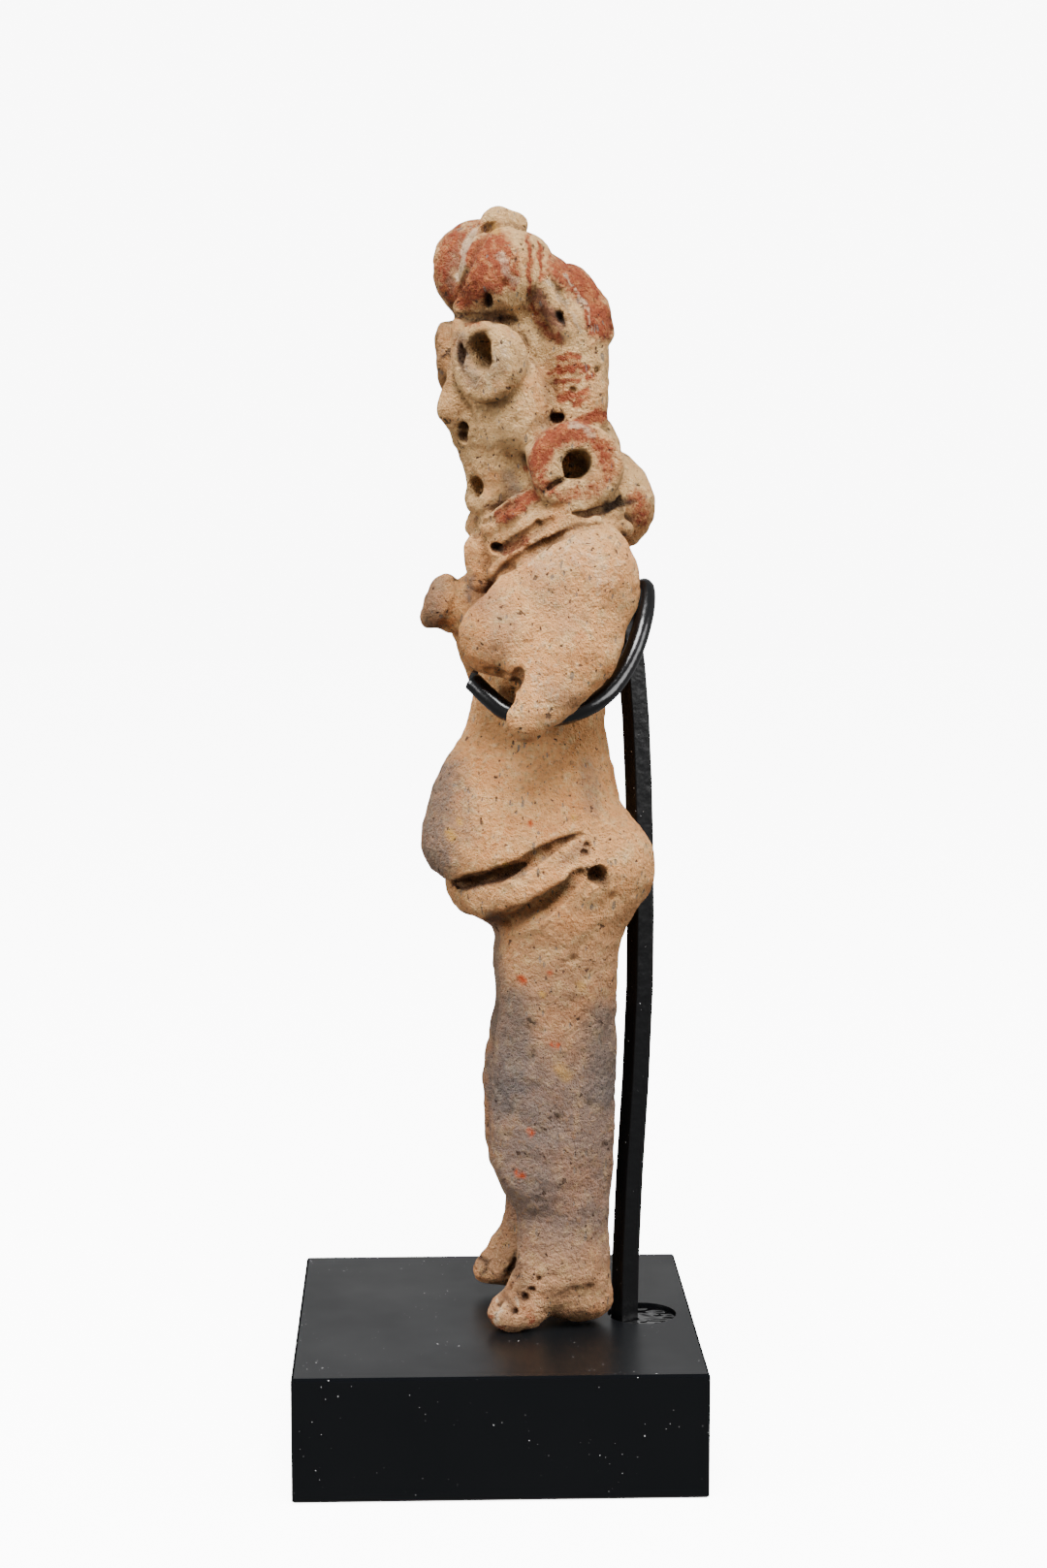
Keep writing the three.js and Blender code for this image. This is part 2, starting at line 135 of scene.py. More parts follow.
def corner_step(corner):
    """The steps along the three axes from a cell's first corner to one of its eight."""
    return np.array([corner & 1, corner >> 1 & 1, corner >> 2 & 1])


def blend_min(first, second, reach):
    overlap = np.maximum(reach - np.abs(first - second), 0) / reach
    return np.minimum(first, second) - overlap * overlap * reach * 0.25


def eased(t, gap, start, leaving, end, arriving):
    """A value at the share t of the gap from start to end, for the slopes at which it leaves and arrives."""
    return (
        (1 + 2 * t) * (1 - t) ** 2 * start
        + t * (1 - t) ** 2 * gap * leaving
        + t * t * (3 - 2 * t) * end
        + t * t * (t - 1) * gap * arriving
    )


def monotone(stations, values, where):
    """Smooth curves through the values at the stations that never overshoot them."""
    step = np.diff(stations)[:, None]
    slope = np.diff(values, axis=0) / step
    before, after = slope[:-1], slope[1:]
    weight_before = 2 * step[1:] + step[:-1]
    weight_after = step[1:] + 2 * step[:-1]
    same_way = before * after > 0
    safe_before = np.where(same_way, before, 1.0)
    safe_after = np.where(same_way, after, 1.0)
    inner = (weight_before + weight_after) / (weight_before / safe_before + weight_after / safe_after)
    tangent = np.concatenate([slope[:1], np.where(same_way, inner, 0.0), slope[-1:]])
    where = np.clip(where, stations[0], stations[-1])
    cell = np.clip(np.searchsorted(stations, where, side="right") - 1, 0, len(stations) - 2)
    width = step[cell]
    t = ((where - stations[cell])[:, None]) / width
    return eased(t, width, values[cell], tangent[cell], values[cell + 1], tangent[cell + 1])


class Clay:
    """Distance to the clay's surface on a grid, built up and cut away lump by lump."""

    EMPTY = 50.0

    def __init__(self, low, high, pitch):
        self.low = np.array(low, float)
        self.pitch = pitch
        self.count = np.ceil((np.array(high) - self.low) / pitch).astype(int) + 1
        self.axes = [self.low[i] + pitch * np.arange(self.count[i]) for i in range(3)]
        self.distance = np.full(self.count, self.EMPTY, np.float32)

    def apply(self, rule, low, high, cut, reach):
        margin = reach * 1.2 + 2.0
        window = []
        for i in range(3):
            first = int(np.floor((low[i] - margin - self.low[i]) / self.pitch))
            last = int(np.ceil((high[i] + margin - self.low[i]) / self.pitch)) + 1
            window.append(slice(max(first, 0), min(max(last, 0), self.count[i])))
        window = tuple(window)
        if any(side.stop <= side.start for side in window):
            return
        grid = np.meshgrid(*(self.axes[i][window[i]] for i in range(3)), indexing="ij")
        shape = rule(*grid).astype(np.float32)
        if cut:
            self.distance[window] = -blend_min(-self.distance[window], shape, reach)
        else:
            self.distance[window] = blend_min(self.distance[window], shape, reach)

    def lump(self, centre, half_sizes, turn, reach, cut=False):
        """An ellipsoid."""
        half_sizes = np.array(half_sizes)
        extent = np.sqrt(((turn * half_sizes) ** 2).sum(1))

        def rule(*grid):
            away = [grid[i] - centre[i] for i in range(3)]
            own = [sum(turn[j, i] * away[j] for j in range(3)) for i in range(3)]
            near = np.sqrt(sum((own[i] / half_sizes[i]) ** 2 for i in range(3)))
            steep = np.sqrt(sum((own[i] / half_sizes[i] ** 2) ** 2 for i in range(3)))
            return near * (near - 1) / np.maximum(steep, 1e-6)

        self.apply(rule, centre - extent, centre + extent, cut, reach)

    def strand(self, stops, reach, cut=False, flat=None):
        """A round-ended roll through places with radii, thinner along a direction if flat gives one."""
        places = np.array([place for place, _ in stops])
        radii = np.array([radius for _, radius in stops])
        direction = None if flat is None else flat[0] / np.linalg.norm(flat[0])

        def rule(*grid):
            nearest = np.full(grid[0].shape, 1e3)
            for i in range(len(places) - 1):
                run = places[i + 1] - places[i]
                length = max(np.linalg.norm(run), 1e-6)
                run = run / length
                away = [grid[j] - places[i][j] for j in range(3)]
                along = np.clip(sum(away[j] * run[j] for j in range(3)) / length, 0, 1)
                off = [away[j] - along * length * run[j] for j in range(3)]
                if flat is not None:
                    more = sum(off[j] * direction[j] for j in range(3)) * (1 / flat[1] - 1)
                    off = [off[j] + more * direction[j] for j in range(3)]
                reached = np.sqrt(sum(part * part for part in off))
                nearest = np.minimum(nearest, reached - (radii[i] + (radii[i + 1] - radii[i]) * along))
            return nearest

        thick = radii.max()
        self.apply(rule, places.min(0) - thick, places.max(0) + thick, cut, reach)

    def column(self, rows, reach):
        """Oval sections: rise, side and back of the centre, half width, depth in front and behind."""
        rows = np.array(rows, float)
        rise = rows[:, 0]

        def rule(*grid):
            sections = monotone(rise, rows[:, 1:], grid[2][0, 0, :])
            side, back, wide, front, behind = (sections[:, i][None, None, :] for i in range(5))
            x, y = grid[0] - side, grid[1] - back
            deep = np.where(y < 0, front, behind)
            share = np.sqrt((x / wide) ** 2 + (y / deep) ** 2)
            off = (share - 1) * np.sqrt(x * x + y * y) / np.maximum(share, 1e-6)
            past = np.maximum(rise[0] - grid[2], grid[2] - rise[-1])
            return np.where(past > 0, np.sqrt(np.maximum(off, 0) ** 2 + past ** 2), np.maximum(off, past))

        low = [(rows[:, 1] - rows[:, 3]).min(), (rows[:, 2] - rows[:, 4]).min(), rise[0]]
        high = [(rows[:, 1] + rows[:, 3]).max(), (rows[:, 2] + rows[:, 5]).max(), rise[-1]]
        self.apply(rule, np.array(low), np.array(high), False, reach)

    def pill(self, centre, normal, radius, half_thick, edge, reach, oval=1.0):
        """A pressed pellet of clay with a rounded edge."""
        forward = normal / np.linalg.norm(normal)
        side = np.cross(forward, (0.0, 0.0, 1.0))
        side = side / np.linalg.norm(side)
        up = np.cross(side, forward)

        def rule(*grid):
            away = [grid[i] - centre[i] for i in range(3)]
            across, out, rise = (sum(away[j] * axis[j] for j in range(3)) for axis in (side, forward, up))
            wide = np.sqrt(across ** 2 + (rise / oval) ** 2) - (radius - edge)
            thick = np.abs(out) - (half_thick - edge)
            outside = np.sqrt(np.maximum(wide, 0) ** 2 + np.maximum(thick, 0) ** 2)
            return np.minimum(np.maximum(wide, thick), 0) + outside - edge

        size = radius * max(1.0, oval) + half_thick
        self.apply(rule, centre - size, centre + size, False, reach)

    def sample(self, points):
        """The distance at any points, linear between the grid's values."""
        place = (np.asarray(points) - self.low) / self.pitch
        place = np.clip(place, 0, self.count - 1.001)
        cell = place.astype(int)
        part = place - cell
        total = np.zeros(len(place))
        for corner in range(8):
            step = corner_step(corner)
            weight = np.prod(np.where(step, part, 1 - part), axis=1)
            i, j, k = (cell + step).T
            total += weight * self.distance[i, j, k]
        return total

    def slope(self, points):
        """The direction straight out of the clay at any points."""
        out = np.zeros((len(points), 3))
        for i in range(3):
            step = np.zeros(3)
            step[i] = self.pitch
            out[:, i] = self.sample(points + step) - self.sample(points - step)
        return out / np.maximum(np.linalg.norm(out, axis=1, keepdims=True), 1e-6)

    def seen(self, pixels):
        """The places on the clay that the photograph shows at these pixels."""
        start = figure_from_row(CAMERA_PLACE)
        depths = np.arange(400.0, 520.0, 0.25)
        found = []
        for across, down in pixels:
            ray = camera_view + (across - PHOTO_CENTRE[0]) / FOCAL_PIXELS * camera_right
            ray = ray - (down - PHOTO_CENTRE[1]) / FOCAL_PIXELS * camera_up
            ray = figure_turn.T @ ray
            line = start + depths[:, None] * ray
            gap = self.sample(line)
            inside = np.flatnonzero(gap < 0)
            hit = inside[0] if len(inside) else int(np.argmin(gap))
            found.append(line[hit])
        return np.array(found)

    def score(self, pixels, radius, depth, reach=0.3):
        """A groove that follows the surface along a line of pixels."""
        line = []
        for (x0, y0), (x1, y1) in zip(pixels[:-1], pixels[1:]):
            steps = max(2, int(math.hypot(x1 - x0, y1 - y0) / 6) + 1)
            line += [(x0 + (x1 - x0) * t, y0 + (y1 - y0) * t) for t in np.linspace(0, 1, steps)]
        places = self.seen(line)
        places = places + self.slope(places) * (radius - depth)
        sizes = radius * np.interp(np.linspace(0, 1, len(places)), (0, 0.12, 0.7, 1), (0.5, 1, 0.9, 0.3))
        self.strand(list(zip(places, sizes)), reach, cut=True)

    def poke(self, pixel, radii, depth, lean, reach=0.25):
        """An oval hole at a pixel: half width and half height in millimetres, and how deep it goes."""
        place = self.seen([pixel])
        out = self.slope(place)[0]
        side = np.cross(out, (0.0, 0.0, 1.0))
        side = side / max(np.linalg.norm(side), 1e-6)
        up = np.cross(side, out)
        c, s = math.cos(math.radians(lean)), math.sin(math.radians(lean))
        turn = np.stack([c * side + s * up, out, c * up - s * side], 1)
        self.lump(place[0], (radii[0], depth, radii[1]), turn, reach, cut=True)


# The body, part by part

LEG_ROWS = (
    # rise, side and back of the middle, half width, depth in front and behind,
    # and how much less the far leg has in front
    (8.0, 7.4, 1.2, 5.6, 6.6, 6.8, 0.0),
    (12.3, 7.4, 1.1, 5.8, 7.3, 7.3, 0.0),
    (17.7, 7.2, 1.1, 6.2, 7.7, 7.7, 0.1),
    (23.7, 7.0, -0.2, 6.7, 9.1, 9.4, 0.2),
    (28.1, 6.9, -0.6, 7.0, 10.0, 10.0, 0.8),
    (34.7, 6.8, -0.5, 7.3, 10.2, 10.3, 0.6),
    (40.8, 6.8, -0.4, 7.5, 10.1, 10.2, 0.6),
    (46.5, 6.9, -0.1, 7.6, 9.8, 10.0, 1.1),
    (52.2, 7.0, 0.2, 7.8, 9.5, 9.6, 1.5),
    (60.0, 7.4, 0.9, 8.2, 10.6, 9.2, 2.0),
    (68.0, 7.8, 1.5, 8.6, 10.2, 9.8, 1.6),
)


def add_legs(clay):
    for side in BOTH:
        less = 0.0 if side == NEAR else 1.0
        clay.column([
            (rise, out * side, back, wide, front - less * far_less, behind)
            for rise, out, back, wide, front, behind, far_less in LEG_ROWS
        ], 1.6)
    add_foot(clay, NEAR, toe_side=9.4, lift=0.0, instep=0.0)
    add_foot(clay, FAR, toe_side=10.2, lift=1.2, instep=2.0)


def add_foot(clay, side, toe_side, lift, instep):
    clay.lump(legs.at(7.0 * side, -4.6, 3.6 + lift), (4.5, 4.6, 3.5), legs.turn, 3.4)
    clay.strand(legs.line(side, (7.3, -2.8, 10.0, 5.2), (7.0, -4.2, 5.0 + lift, 3.8)), 3.0)
    clay.lump(legs.at(7.4 * side, 0.6, 4.6 + lift), (4.4, 6.2, 3.2), legs.turn, 3.2)
    ankle = (7.6, 1.2, 8.4 + lift + instep, 4.8)
    toe = (toe_side, 8.0, 3.0 + lift + instep * 0.4, 2.8)
    clay.strand(legs.line(side, ankle, toe), 2.6)
    clay.lump(legs.at(toe_side * side, 6.8, 2.3 + lift), (3.7, 4.5, 2.4), legs.turn, 2.2)


TRUNK_ROWS = (
    # rise, half width, depth in front, depth behind
    (50.0, 11.5, 7.5, 8.6),
    (55.7, 14.4, 9.0, 9.9),
    (59.6, 15.2, 9.2, 10.1),
    (62.4, 16.0, 9.0, 10.6),
    (63.9, 16.4, 9.4, 11.0),
    (66.0, 17.0, 11.6, 11.6),
    (68.7, 17.5, 14.4, 12.3),
    (70.9, 17.8, 16.6, 12.4),
    (72.6, 18.1, 17.4, 12.6),
    (74.4, 18.2, 19.6, 12.6),
    (76.7, 18.2, 20.7, 12.6),
    (78.6, 17.9, 21.0, 12.4),
    (81.6, 17.2, 20.6, 12.0),
    (83.9, 16.4, 20.1, 11.6),
    (86.1, 15.6, 19.5, 11.0),
    (88.7, 14.7, 18.6, 10.4),
    (92.3, 13.6, 16.7, 9.7),
    (95.5, 12.8, 14.6, 9.3),
    (98.4, 12.4, 13.4, 8.9),
    (102.5, 12.4, 12.5, 8.6),
    (106.0, 13.2, 11.5, 8.3),
    (110.0, 14.6, 11.0, 8.6),
    (115.0, 16.6, 10.6, 9.2),
    (120.0, 17.5, 10.2, 9.6),
    (125.0, 16.0, 9.5, 9.6),
    (129.0, 12.5, 8.5, 8.8),
    (133.0, 9.5, 8.0, 8.0),
    (138.0, 8.0, 8.0, 7.0),
)


def add_trunk(clay):
    clay.column([(rise, 0.0, 0.0, wide, front, back) for rise, wide, front, back in TRUNK_ROWS], 2.0)
    for side in BOTH:
        clay.lump(trunk.at(8.8 * side, -5.4, 75.2), (8.2, 9.8, 9.4), trunk.turn, 3.0)
    groin_roll = [
        (0.0, 12.4, 70.9, 4.2),
        (8.0, 11.6, 70.8, 4.0),
        (13.6, 7.0, 72.2, 3.6),
        (16.4, 1.6, 74.8, 2.6),
        (17.2, -3.4, 77.2, 1.4),
    ]
    clay.strand(trunk.band(*groin_roll), 1.2)


def fold_trunk(clay):
    """The creases at the top of each thigh, and the far half of the one under the belly."""
    belly_crease = [
        (0.0, 20.2, 72.6, 1.3),
        (7.0, 17.5, 72.9, 1.35),
        (12.5, 13.0, 73.8, 1.45),
        (16.4, 7.0, 75.6, 1.4),
        (18.3, 2.5, 77.6, 1.15),
        (19.0, -1.5, 79.6, 0.3),
    ]
    clay.strand(trunk.line(FAR, *belly_crease), 0.8, cut=True)
    thigh_crease = [
        (3.0, 14.2, 63.2, 1.6),
        (9.0, 12.4, 65.4, 1.6),
        (14.6, 8.4, 68.6, 1.7),
        (17.6, 3.4, 72.0, 1.5),
        (18.9, -1.0, 76.4, 0.4),
    ]
    for side in BOTH:
        clay.strand(trunk.line(side, *thigh_crease), 1.2, cut=True)


def add_chest(clay):
    sideways = trunk.way(1.0, 0.0)
    for side in BOTH:
        clay.lump(trunk.at(14.4 * side, -3.0, 122.0), (8.4, 7.4, 8.8), trunk.turn, 2.5)
        stump = (20.8, 8.6, 100.4, 3.4) if side == NEAR else (20.6, 5.0, 101.6, 3.3)
        arm = [(16.8, -2.5, 119.5, 6.9), (19.2, 0.1, 111.2, 6.6), (20.6, 4.1, 105.2, 4.6), stump]
        clay.strand(trunk.line(side, *arm), 2.5, flat=(sideways, 0.66))
        clay.strand(trunk.line(side, (19.8, 6.4, 103.4, 3.0), (14.5, 7.8, 112.0, 5.2)), 1.8)
        clay.strand(trunk.line(side, (12.0, 2.0, 120.0, 7.4), (11.0, 6.5, 116.0, 7.2)), 2.5)
    clay.strand(trunk.line(NEAR, (10.6, 5.0, 115.2, 7.4), (12.0, 11.4, 113.2, 6.0)), 2.0)
    clay.lump(trunk.at(12.4, 11.2, 110.6), (4.6, 5.4, 3.8), trunk.turn, 1.6)
    clay.strand(trunk.line(FAR, (8.5, 3.5, 115.5, 8.0), (10.0, 14.0, 116.0, 4.2)), 1.5)
    clay.pill(trunk.at(-10.0, 16.2, 117.0), trunk.way(-0.12, 0.9, 0.40), 4.7, 2.2, 1.9, 0.5)


def add_collars(clay):
    """The neck, the band of clay wrapped round it with its two raised edges, and the pellet hung on it."""
    clay.column([
        (120.0, 0.0, 0.0, 11.0, 10.0, 10.0),
        (124.0, 0.0, 0.0, 11.5, 9.2, 10.4),
        (129.0, 0.0, 0.0, 12.4, 8.4, 10.4),
        (134.0, 0.0, 0.0, 11.4, 7.8, 9.6),
        (140.0, 0.0, -1.5, 9.0, 7.5, 8.0),
    ], 1.5)
    band = [
        (0.0, 8.6, 126.0, 3.4),
        (6.0, 8.4, 126.6, 3.6),
        (11.0, 5.2, 129.2, 3.8),
        (13.6, -0.6, 132.0, 3.6),
        (12.6, -6.0, 133.0, 3.2),
    ]
    clay.strand(trunk.band(*band), 0.5)
    upper_edge = [
        (0.0, 10.4, 128.8, 2.1),
        (6.0, 10.3, 129.6, 2.4),
        (10.6, 7.9, 132.4, 2.5),
        (13.0, 2.6, 135.6, 2.0),
        (12.0, -4.0, 138.0, 1.8),
        (7.0, -8.0, 139.0, 1.6),
    ]
    clay.strand(trunk.band(*upper_edge), 0.2)
    lower_edge = [
        (0.0, 10.0, 121.8, 1.5),
        (6.0, 10.4, 122.8, 1.5),
        (11.0, 8.0, 125.6, 1.5),
        (14.8, 2.8, 128.8, 1.4),
        (16.2, -3.0, 130.6, 1.4),
        (13.0, -8.4, 130.0, 1.4),
        (8.0, -10.4, 129.0, 1.4),
    ]
    clay.strand(trunk.band(*lower_edge), 0.3)
    clay.strand(trunk.line(NEAR, (3.0, 12.0, 126.2, 2.9), (2.6, 11.9, 121.2, 2.2)), 0.2)


def add_hair(clay):
    clay.lump(head.at(0.0, -1.0, 165.5), (10.6, 10.0, 8.4), head.turn, 1.5)
    clay.lump(head.at(0.0, -5.0, 153.0), (10.5, 8.5, 16.0), head.turn, 2.0)
    for side in BOTH:
        lobe = head.at(4.7, 4.0, 169.2) if side == NEAR else head.at(-4.9, 3.1, 169.8)
        tall = 7.2 if side == NEAR else 8.6
        clay.lump(lobe, (6.8, 7.8, tall), pitched(head.turn, 25), 0.8)
        clay.lump(head.at(7.0 * side, -0.6, 167.2), (6.0, 4.6, 5.4), pitched(head.turn, 30), 0.9)
        lock = head.line(side, (9.8, -6.0, 161.0, 5.0), (10.0, -5.8, 154.0, 5.0), (10.4, -5.4, 146.0, 5.0))
        clay.strand(lock, 1.0)
        add_rear_lobe(clay, side)
    knot = head.line(NEAR, (0.2, 5.6, 175.0, 2.0), (0.9, 3.2, 177.2, 2.8), (1.2, 1.2, 176.8, 2.7))
    clay.strand(knot, 0.3)
    clay.lump(head.at(1.0, -16.4, 133.6), (11.0, 6.8, 8.6), pitched(head.turn, 14), 1.2)
    clay.lump(head.at(1.0, -11.0, 141.0), (10.0, 6.0, 8.0), head.turn, 2.0)
    clay.pill(head.at(15.4, -2.2, 139.4), head.way(0.9, 0.42), 7.5, 3.4, 1.8, 0.4, 0.92)
    clay.pill(head.at(-14.4, -7.0, 139.4), head.way(-0.95, 0.3), 7.5, 3.4, 1.8, 0.4, 0.92)


def add_rear_lobe(clay, side):
    """Two rolls of clay side by side that run down and back behind the temple."""
    rear = head.line(side, (8.8, -5.0, 166.6, 4.3), (9.6, -7.4, 163.2, 4.3), (9.7, -9.0, 160.2, 3.3))
    clay.strand(rear, 0.3)
    fore = head.line(side, (10.8, -1.2, 165.0, 2.5), (11.8, -3.2, 161.4, 2.8), (11.8, -5.8, 157.6, 2.4))
    clay.strand(fore, 0.2)


def add_face(clay):
    core = head.line(NEAR, (0.0, 1.0, 158.0, 9.4), (0.0, 2.0, 147.0, 8.9), (0.0, 1.6, 138.2, 6.4))
    clay.strand(core, 2.0)
    for side in BOTH:
        clay.lump(head.at(8.4 * side, 3.0, 148.5), (3.4, 4.0, 7.0), head.turn, 2.0)
    clay.lump(head.at(0.2, 5.6, 134.0), (3.8, 2.8, 3.0), head.turn, 1.2)
    clay.lump(head.at(0.2, 6.4, 140.0), (3.0, 2.0, 3.6), head.turn, 1.4)
    nose = [
        (0.0, 7.0, 166.0, 3.6),
        (0.0, 7.6, 157.0, 3.3),
        (0.0, 9.2, 151.5, 3.2),
        (0.0, 10.6, 148.4, 3.0),
        (0.0, 7.4, 144.8, 3.0),
    ]
    clay.strand(head.line(NEAR, *nose), 1.2, flat=(head.way(1.0, 0.0), 0.72))
    clay.pill(head.at(6.8, 8.2, 155.4), head.way(0.46, 0.88, -0.05), 6.1, 2.4, 1.3, 0.3, 1.05)
    clay.pill(head.at(-6.0, 7.8, 156.6), head.way(-0.46, 0.88, -0.05), 5.5, 2.4, 1.3, 0.3, 1.03)


def open_face(clay):
    """Pupils, nostrils and mouth."""
    upright = np.array([0.0, 0.0, 1.0])
    for side in BOTH:
        pupil = head.line(side, (7.9, 13.0, 156.9, 2.6), (6.8, 6.8, 156.9, 2.1))
        clay.strand(pupil, 0.3, cut=True, flat=(upright, 1.25))
        clay.strand(head.line(side, (2.0, 11.0, 144.6, 0.9), (2.0, 9.0, 146.2, 0.8)), 0.3, cut=True)
    mouth = head.line(NEAR, (1.6, 11.0, 135.9, 1.7), (0.8, 6.0, 135.9, 1.4))
    clay.strand(mouth, 0.3, cut=True, flat=(upright, 1.2))


def open_curls(clay):
    clay.strand(head.line(NEAR, (21.0, 0.6, 139.5, 2.8), (14.6, -2.4, 139.5, 2.2)), 0.3, cut=True)
    clay.strand(head.line(FAR, (20.0, -5.0, 139.5, 2.3), (14.4, -7.0, 139.5, 2.0)), 0.3, cut=True)


# Marks that the photograph shows on the near side. Grooves: radius and depth in millimetres, then pixels

GROOVES = {
    "parting": (0.9, 0.9, (508, 232), (498, 246), (488, 262), (478, 286), (470, 306), (464, 322)),
    "hairline": (0.7, 0.8, (466, 324), (480, 327), (494, 329), (513, 332), (532, 331), (546, 338)),
    "lobe valley": (0.7, 0.4, (553, 292), (546, 314), (537, 328)),
    "rear valley": (0.6, 0.5, (547, 312), (551, 330), (560, 344), (574, 355), (592, 358)),
    "roll valley": (0.6, 0.7, (566, 284), (578, 304), (586, 326), (598, 344)),
    "curl crack": (0.6, 1.0, (587, 488), (580, 495), (573, 498), (566, 503), (557, 508)),
    "foot crease": (0.6, 0.8, (534, 1292), (529, 1306), (522, 1318)),
    "nose crease": (0.5, 0.4, (478, 402), (487, 424), (491, 450), (484, 462)),
    "ring crevice": (0.7, 1.2, (640, 518), (622, 526), (604, 530), (584, 529)),
    "collar cut": (0.6, 0.8, (491, 540), (491, 549), (492, 558)),
    "temple flake": (0.45, 0.35, (536, 336), (540, 352), (552, 372), (560, 390), (572, 402), (574, 416)),
    "collar channel": (1.0, 0.9, (512, 568), (521, 566), (536, 556), (556, 543), (578, 531)),
    "chin under": (0.6, 0.7, (494, 540), (503, 537), (518, 524), (533, 514), (549, 508)),
    "ledge under": (0.7, 0.7, (518, 590), (532, 583), (548, 572), (566, 561), (584, 553), (600, 547),
        (616, 543)),
    "shoulder line": (0.7, 0.5, (512, 594), (530, 578), (556, 562), (586, 548), (616, 541), (640, 551)),
    "arm notch": (1.2, 1.4, (528, 712), (533, 698), (536, 690)),
    "breast fold": (0.8, 0.6, (533, 696), (524, 700), (512, 692), (500, 690)),
    "belly crease": (1.3, 1.5, (462, 909), (476, 912), (507, 906), (537, 894), (558, 880), (578, 868),
        (600, 860)),
    "belly overhang": (1.1, 1.5, (467, 910), (476, 912), (500, 907), (528, 898), (545, 889)),
    "toe ridge": (0.4, 0.4, (530, 1318), (521, 1332), (513, 1348), (509, 1360)),
}

# Holes: the pixel, half width and half height, depth, and the lean in degrees

HOLES = {
    "hip pit": ((617, 903), (1.9, 1.5), 3.4, 35),
    "eye recess": ((475, 366), (0.55, 2.1), 1.5, 0),
    "strip notch": ((512, 565), (1.2, 0.7), 1.8, -20),
    "nostril": ((477, 450), (0.8, 1.0), 1.6, 0),
    "groin notch": ((511, 958), (1.0, 0.8), 2.0, 20),
    "lock gap": ((575, 431), (1.2, 0.7), 1.6, -20),
    "lobe slot": ((504, 310), (0.7, 1.6), 1.6, 15),
    "rear lobe slot": ((578, 328), (0.6, 1.3), 1.6, -25),
    "bun hole": ((642, 516), (1.5, 1.1), 2.5, -15),
    "knot hollow": ((501, 237), (1.2, 1.2), 1.6, 0),
}

THIGH_CREASE = ((504, 955), (514, 960), (539, 943), (564, 925), (580, 912), (590, 902))
BELLY_WRINKLES = (
    ((574, 869), (590, 864), (606, 862)),
    ((578, 874), (592, 871), (604, 872)),
    ((566, 900), (586, 889), (606, 882)),
)
SMALL_PITS = (
    (590, 402), (617, 382), (571, 430), (578, 428), (590, 436), (523, 1326), (541, 1338),
    (516, 1345), (549, 1330), (532, 1352), (556, 1318), (606, 871), (604, 878), (534, 700),
)


def mark_near_side(clay):
    for radius, depth, *pixels in GROOVES.values():
        clay.score(pixels, radius, depth)
    clay.score(THIGH_CREASE, 1.0, 0.5, reach=0.6)
    for wrinkle in BELLY_WRINKLES:
        clay.score(wrinkle, 0.4, 0.3)
    for pixel, radii, depth, lean in HOLES.values():
        clay.poke(pixel, radii, depth, lean)
    for pit in SMALL_PITS:
        clay.poke(pit, (0.6, 0.5), 0.9, 0)


# The sleeved wire, in the trunk's directions: places sideways, backwards and up. It runs from behind
# the rod round under the near arm, and the other way it stops sooner.

WIRE_RADIUS = 1.55
CLEARANCE = 0.3
NEAR_WIRE = (
    (0.0, 15.7, 119.5),
    (5.0, 14.4, 115.6),
    (10.0, 10.6, 108.6),
    (14.3, 5.2, 103.4),
    (15.9, -0.4, 101.0),
    (15.0, -6.2, 100.2),
    (12.6, -10.1, 101.2),
    (10.8, -12.3, 103.1),
    (8.4, -14.6, 105.6),
)
FAR_WIRE = (
    (-5.0, 14.4, 115.6),
    (-10.0, 10.6, 108.6),
    (-14.3, 5.2, 103.6),
    (-15.9, -0.4, 101.4),
    (-15.2, -5.8, 102.2),
    (-13.6, -9.4, 104.6),
)


def smooth_line(stops, steps):
    """A line through the stops, with each stretch cut into this many steps."""
    stops = np.array(stops)
    ends = np.concatenate([[2 * stops[0] - stops[1]], stops, [2 * stops[-1] - stops[-2]]])
    line = []
    for before, start, end, after in zip(ends[:-3], ends[1:-2], ends[2:-1], ends[3:]):
        gap_before, gap, gap_after = (
            np.linalg.norm(b - a) ** 0.5 for a, b in ((before, start), (start, end), (end, after))
        )
        run = (end - start) / gap
        leaving = (start - before) / gap_before - (end - before) / (gap_before + gap) + run
        arriving = run - (after - start) / (gap + gap_after) + (after - end) / gap_after
        line += [eased(step / steps, gap, start, leaving, end, arriving) for step in range(steps)]
    return np.array(line + [stops[-1]])


def wire_line(steps):
    stops = [*reversed(FAR_WIRE), *NEAR_WIRE]
    return smooth_line([trunk.at(side, -back, rise) for side, back, rise in stops], steps)


GRID_PITCH = 0.52


def make_clay():
    clay = Clay((-28, -26, -3), (28, 24, 184), GRID_PITCH)
    add_legs(clay)
    add_trunk(clay)
    fold_trunk(clay)
    add_chest(clay)
    add_collars(clay)
    add_hair(clay)
    add_face(clay)
    open_face(clay)
    open_curls(clay)
    mark_near_side(clay)
    clay.strand([(place, WIRE_RADIUS + CLEARANCE) for place in wire_line(2)], 0.1, cut=True)
    return clay


# From distances to a mesh

CELL_EDGES = [(a, b) for a in range(8) for b in range(a + 1, 8) if (a ^ b) in (1, 2, 4)]


